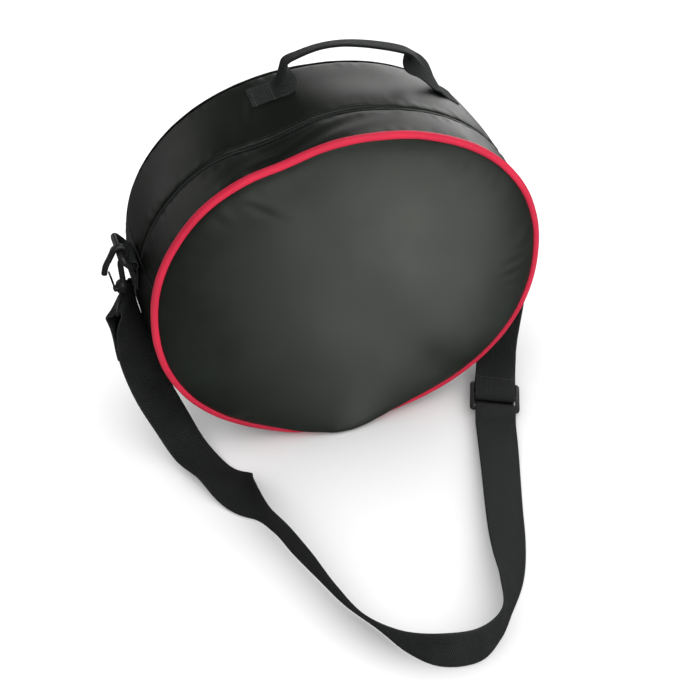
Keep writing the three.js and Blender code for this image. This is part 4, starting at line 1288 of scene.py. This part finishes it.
class BAG_OT_rings(bpy.types.Operator):
    """Side tabs with their D-rings"""

    bl_idname = "regulator_bag.rings"
    bl_label = "Tabs and D-rings"

    STITCHES = (0.004, 0.012)
    SEWN = (0.010, 0.014, 0.018, 0.022, 0.026)  # heights of the sewn stretch over the bag's middle
    LAYERS = (0.0018, 0.0036)  # from the gusset to the inner and the outer layer
    TURN_GAP = 0.0013  # from the ring's bar to the webbing round it
    TURN = (-50, 235)  # degrees round the bar

    def execute(self, context):
        form = BagForm(context.scene.bag_sizes)
        webbing, colour = context.scene.bag_webbing, context.scene.bag_colours.webbing
        for word, fitting in (("left", LEFT_FITTING), ("right", RIGHT_FITTING)):
            line = self.tab(form, fitting)
            tab = lay_webbing(f"{word}_tab_webbing", line, 10, webbing.tab, webbing.thick,
                              lambda i, far: line[i] + DEPTH * far)
            bars = [running(line)[-1] - spot for spot in self.STITCHES]
            look = webbing_look(f"{word} tab webbing", colour, webbing.tab / 2, bars)
            finish(tab, look, "black_webbing", f"{word}_tab")
            ring = wire(f"{word}_ring_bar", self.ring(fitting), RING["wire"])
            finish(ring, look_of("plastic", context), "black_plastic", f"{word}_d_ring")
        return {"FINISHED"}

    def inner_bar(self, fitting):
        """Middle of the ring's bar in the tab."""
        return Vector((fitting["side"] * fitting["out"], fitting["back"], RING["height"] - fitting["drop"]))

    def tab(self, form, fitting):
        """Two layers sewn to the gusset, turned round the ring's inner bar."""
        side, back = fitting["side"], fitting["back"]

        def layer(lift):
            places = []
            for rise in (sewn - fitting["drop"] for sewn in self.SEWN):
                out = form.gusset(form.side_angle(rise), back).x + lift
                places.append(Vector((side * out, back, form.middle + rise)))
            return places

        bar, radius = self.inner_bar(fitting), RING["wire"] + self.TURN_GAP
        turn = [bar + spoke(OUT * -side, UP, turned) * radius for turned in spread(*self.TURN, 20)]
        inner, outer = map(layer, self.LAYERS)
        return smooth_line(inner + turn + outer[::-1], 2)

    def ring(self, fitting):
        """Points round the ring, with a rounded corner at each end of both bars."""
        away = spoke(OUT * fitting["side"], UP, fitting["lean"])
        inner, corner = self.inner_bar(fitting), RING["round"]
        near, far = corner, RING["rise"] - corner
        points = []
        for side, rise, start in ((1, near, 270), (1, far, 0), (-1, far, 90), (-1, near, 180)):
            centre = inner + DEPTH * (side * (RING["half"] - corner)) + away * rise
            points += [centre + spoke(DEPTH, away, start + turned) * corner for turned in spread(0, 90, 8)]
        return points


class BAG_OT_hooks(bpy.types.Operator):
    """Snap hooks with gate and swivel loop"""

    bl_idname = "regulator_bag.hooks"
    bl_label = "Hooks"

    # Half thickness and half width of the hook's bar and of the gate
    BAR, GATE = (0.0025, 0.003), (0.0009, 0.0025)
    NOSE_CUT, NOSE_RUN = 0.28, 0.25  # share of the width lost at the nose, and share of the run
    CAP = 0.0006  # from the barrel's ends to its last full section
    STEM_TOP = 0.168
    CORNER_CUT = 0.0006  # from the loop's square corner in to its rounded one
    SHOULDER_IN, SHOULDER_UP = 0.0012, 0.0009  # how the loop's side goes over into its slope

    def execute(self, context):
        plastic = look_of("plastic", context)
        hook = join("left_hook_body", [self.body(-1, HOOK_NOSE), self.barrel(-1, BARREL["low"])])
        finish(hook, plastic, "black_plastic", "left_hook")
        gate = self.gate("left_gate", -1, GATE_RUN)
        finish(gate, look_of("metal", context), "dark_metal", "left_hook_gate", body="hook_gate")
        swivel = join("left_loop", self.swivel(-1, STRAP_ROUTE[0][3]))
        finish(swivel, plastic, "black_plastic", "left_swivel")
        right = join("right_hook_body", [self.body(1, CLOSE_NOSE), self.barrel(1, LOOP["top"]),
                                         self.gate("right_gate", 1, CLOSED_GATE_RUN),
                                         *self.swivel(1, STRAP_ROUTE[-1][3])])
        near, far = self.outer_bar(LEFT_FITTING), self.outer_bar(RIGHT_FITTING)
        moved = (far[0] - near[0], RIGHT_FITTING["back"], far[1] - near[1])
        right.data.transform(Matrix.Translation(moved))
        finish(right, plastic, "black_plastic", "right_hook")
        return {"FINISHED"}

    def outer_bar(self, fitting):
        """Place of a ring's outer bar: out from the bag's middle, and up."""
        lean = fitting["lean"] * DEGREE
        return (fitting["out"] + RING["rise"] * math.cos(lean),
                RING["height"] - fitting["drop"] + RING["rise"] * math.sin(lean))

    def body(self, side, nose):
        """Flat bar from the nose over the ring and down the spine to the barrel."""
        out, up = self.outer_bar(LEFT_FITTING)
        radius = HOOK_BEND["radius"]
        bend = [(out - radius * math.cos(turn * DEGREE), up + radius * math.sin(turn * DEGREE))
                for turn in spread(HOOK_BEND["start"], HOOK_BEND["stop"], HOOK_BEND["steps"])]
        line = smooth_line([(side * x, BARREL["y"], z) for x, z in (*nose, *bend, *HOOK_SPINE)], 3)
        thick, wide = self.BAR
        stations = []
        for i, (point, run) in enumerate(zip(line, headings(line))):
            taper = 1 - self.NOSE_CUT * settle(i / len(line), self.NOSE_RUN)
            stations.append((point, run.cross(DEPTH), DEPTH, thick, wide * taper))
        return sweep("hook_body", stations, 18, power=3.0)

    def upright(self, name, side, heights, radius, sides):
        """Round upright bar on the hook's axis."""
        foot = Vector((side * BARREL["x"], BARREL["y"], 0))
        return sweep(name, [(foot + UP * z, OUT, DEPTH, radius, radius) for z in heights], sides)

    def barrel(self, side, low):
        heights = (low + self.CAP, BARREL["high"] - self.CAP)
        return self.upright("hook_barrel", side, heights, BARREL["radius"], 24)

    def gate(self, name, side, run):
        foot, tip = (Vector((side * x, BARREL["y"], z)) for x, z in run)
        outwards = (tip - foot).normalized().cross(DEPTH)
        stations = [(foot.lerp(tip, share), outwards, DEPTH, *self.GATE) for share in spread(0.05, 0.95, 6)]
        return sweep(name, stations, 14, power=3.0)

    def swivel(self, side, heading):
        """Wire loop for the strap, and the stem that turns in the barrel."""
        bar = spoke(DEPTH, -OUT, heading)
        foot = Vector((side * BARREL["x"], BARREL["y"], LOOP["bar"]))
        half, corner, cut = LOOP["half_bar"], LOOP["round"], self.CORNER_CUT
        right = ((half - corner, 0), (half - cut, cut), (half, corner), (half, LOOP["side"]),
                 (half - self.SHOULDER_IN, LOOP["side"] + self.SHOULDER_UP),
                 (LOOP["half_top"], LOOP["top"] - LOOP["bar"]))
        left = [(-u, v) for u, v in right]
        rows = (left[0], *right, *left[:0:-1])
        loop = wire("swivel_loop", [foot + bar * u + UP * v for u, v in rows], LOOP["wire"])
        return [loop, self.upright("swivel_stem", side, (LOOP["top"], self.STEM_TOP), BARREL["stem"], 16)]


class BAG_OT_triglide(bpy.types.Operator):
    """Triglide that sets the strap's length"""

    bl_idname = "regulator_bag.triglide"
    bl_label = "Triglide"

    CORNER = 0.004
    EDGE = 0.0009

    def execute(self, context):
        width, length, thick, bar = (TRIGLIDE[key] for key in ("width", "length", "thick", "bar"))
        deselect()
        piece = self.block((0, 0, 0), (width, length, thick))
        rename(piece, "triglide_frame")
        self.round_corners(piece)
        opening = length / 2 - bar - bar / 2
        for side in (-1, 1):
            cutter = self.block((0, side * (bar / 2 + opening / 2), 0),
                                (width - 2 * TRIGLIDE["side"], opening, thick * 3))
            modify(piece, "BOOLEAN", object=cutter, operation="DIFFERENCE", solver="EXACT")
            bpy.data.objects.remove(cutter)
        modify(piece, "BEVEL", width=self.EDGE, segments=3, limit_method="ANGLE", angle_limit=0.7)
        line = StrapLine()
        point, run, across, face = line.at(line.glide)
        turned = Matrix((-across, run, face)).transposed().to_4x4()
        piece.data.transform(Matrix.Translation(point) @ turned)
        activate(piece)
        bpy.ops.object.shade_smooth_by_angle(angle=0.6)
        finish(piece, look_of("plastic", context), "black_plastic", "triglide")
        self.declare_strap(line, context.scene.bag_webbing.strap)
        return {"FINISHED"}

    def block(self, place, size):
        bpy.ops.mesh.primitive_cube_add(size=1, location=place)
        bpy.ops.transform.resize(value=size)
        bpy.ops.object.transform_apply(location=True, rotation=False, scale=True)
        return bpy.context.object

    def round_corners(self, piece):
        """Rounds the four upright edges of the block."""
        activate(piece)
        bpy.ops.object.mode_set(mode="EDIT")
        bpy.ops.mesh.select_mode(type="EDGE")
        bpy.ops.mesh.select_all(action="DESELECT")
        bpy.ops.object.mode_set(mode="OBJECT")
        for edge in piece.data.edges:
            a, b = (piece.data.vertices[i].co for i in edge.vertices)
            edge.select = abs((a - b).normalized().z) > 0.9
        bpy.ops.object.mode_set(mode="EDIT")
        bpy.ops.mesh.bevel(offset=self.CORNER, segments=5)
        bpy.ops.object.mode_set(mode="OBJECT")

    def declare_strap(self, line, width):
        path = [tuple(line.at(distance)[0]) for distance in spread(0, line.length, 120)]
        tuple(path[0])


class BAG_PT_pieces(bpy.types.Panel):
    """Lists the operators that build the bag"""

    bl_idname = "BAG_PT_pieces"
    bl_label = "Regulator bag"
    bl_space_type = "VIEW_3D"
    bl_region_type = "UI"
    bl_category = "Regulator bag"

    def draw(self, context):
        for operator in OPERATORS:
            self.layout.operator(operator.bl_idname)


SETTINGS = {"bag_sizes": BagSizes, "bag_webbing": WebbingSizes, "bag_colours": BagColours,
            "bag_stage": StageSettings}
OPERATORS = (BAG_OT_stage, BAG_OT_strap, BAG_OT_hooks, BAG_OT_triglide, BAG_OT_panels, BAG_OT_gusset,
             BAG_OT_piping, BAG_OT_zip, BAG_OT_handle, BAG_OT_rings)
CLASSES = (*SETTINGS.values(), *OPERATORS, BAG_PT_pieces)


def register():
    for kind in CLASSES:
        bpy.utils.register_class(kind)
    for name, kind in SETTINGS.items():
        setattr(bpy.types.Scene, name, PointerProperty(type=kind))


def unregister():
    for name in SETTINGS:
        delattr(bpy.types.Scene, name)
    for kind in reversed(CLASSES):
        bpy.utils.unregister_class(kind)


def main():
    register()
    deselect()
    bpy.ops.regulator_bag.stage()
    bpy.ops.regulator_bag.strap()
    bpy.ops.regulator_bag.hooks()
    bpy.ops.regulator_bag.triglide()
    bpy.ops.regulator_bag.panels()
    bpy.ops.regulator_bag.gusset()
    bpy.ops.regulator_bag.piping()
    bpy.ops.regulator_bag.zip()
    bpy.ops.regulator_bag.handle()
    bpy.ops.regulator_bag.rings()


if __name__ == "__main__":
    main()
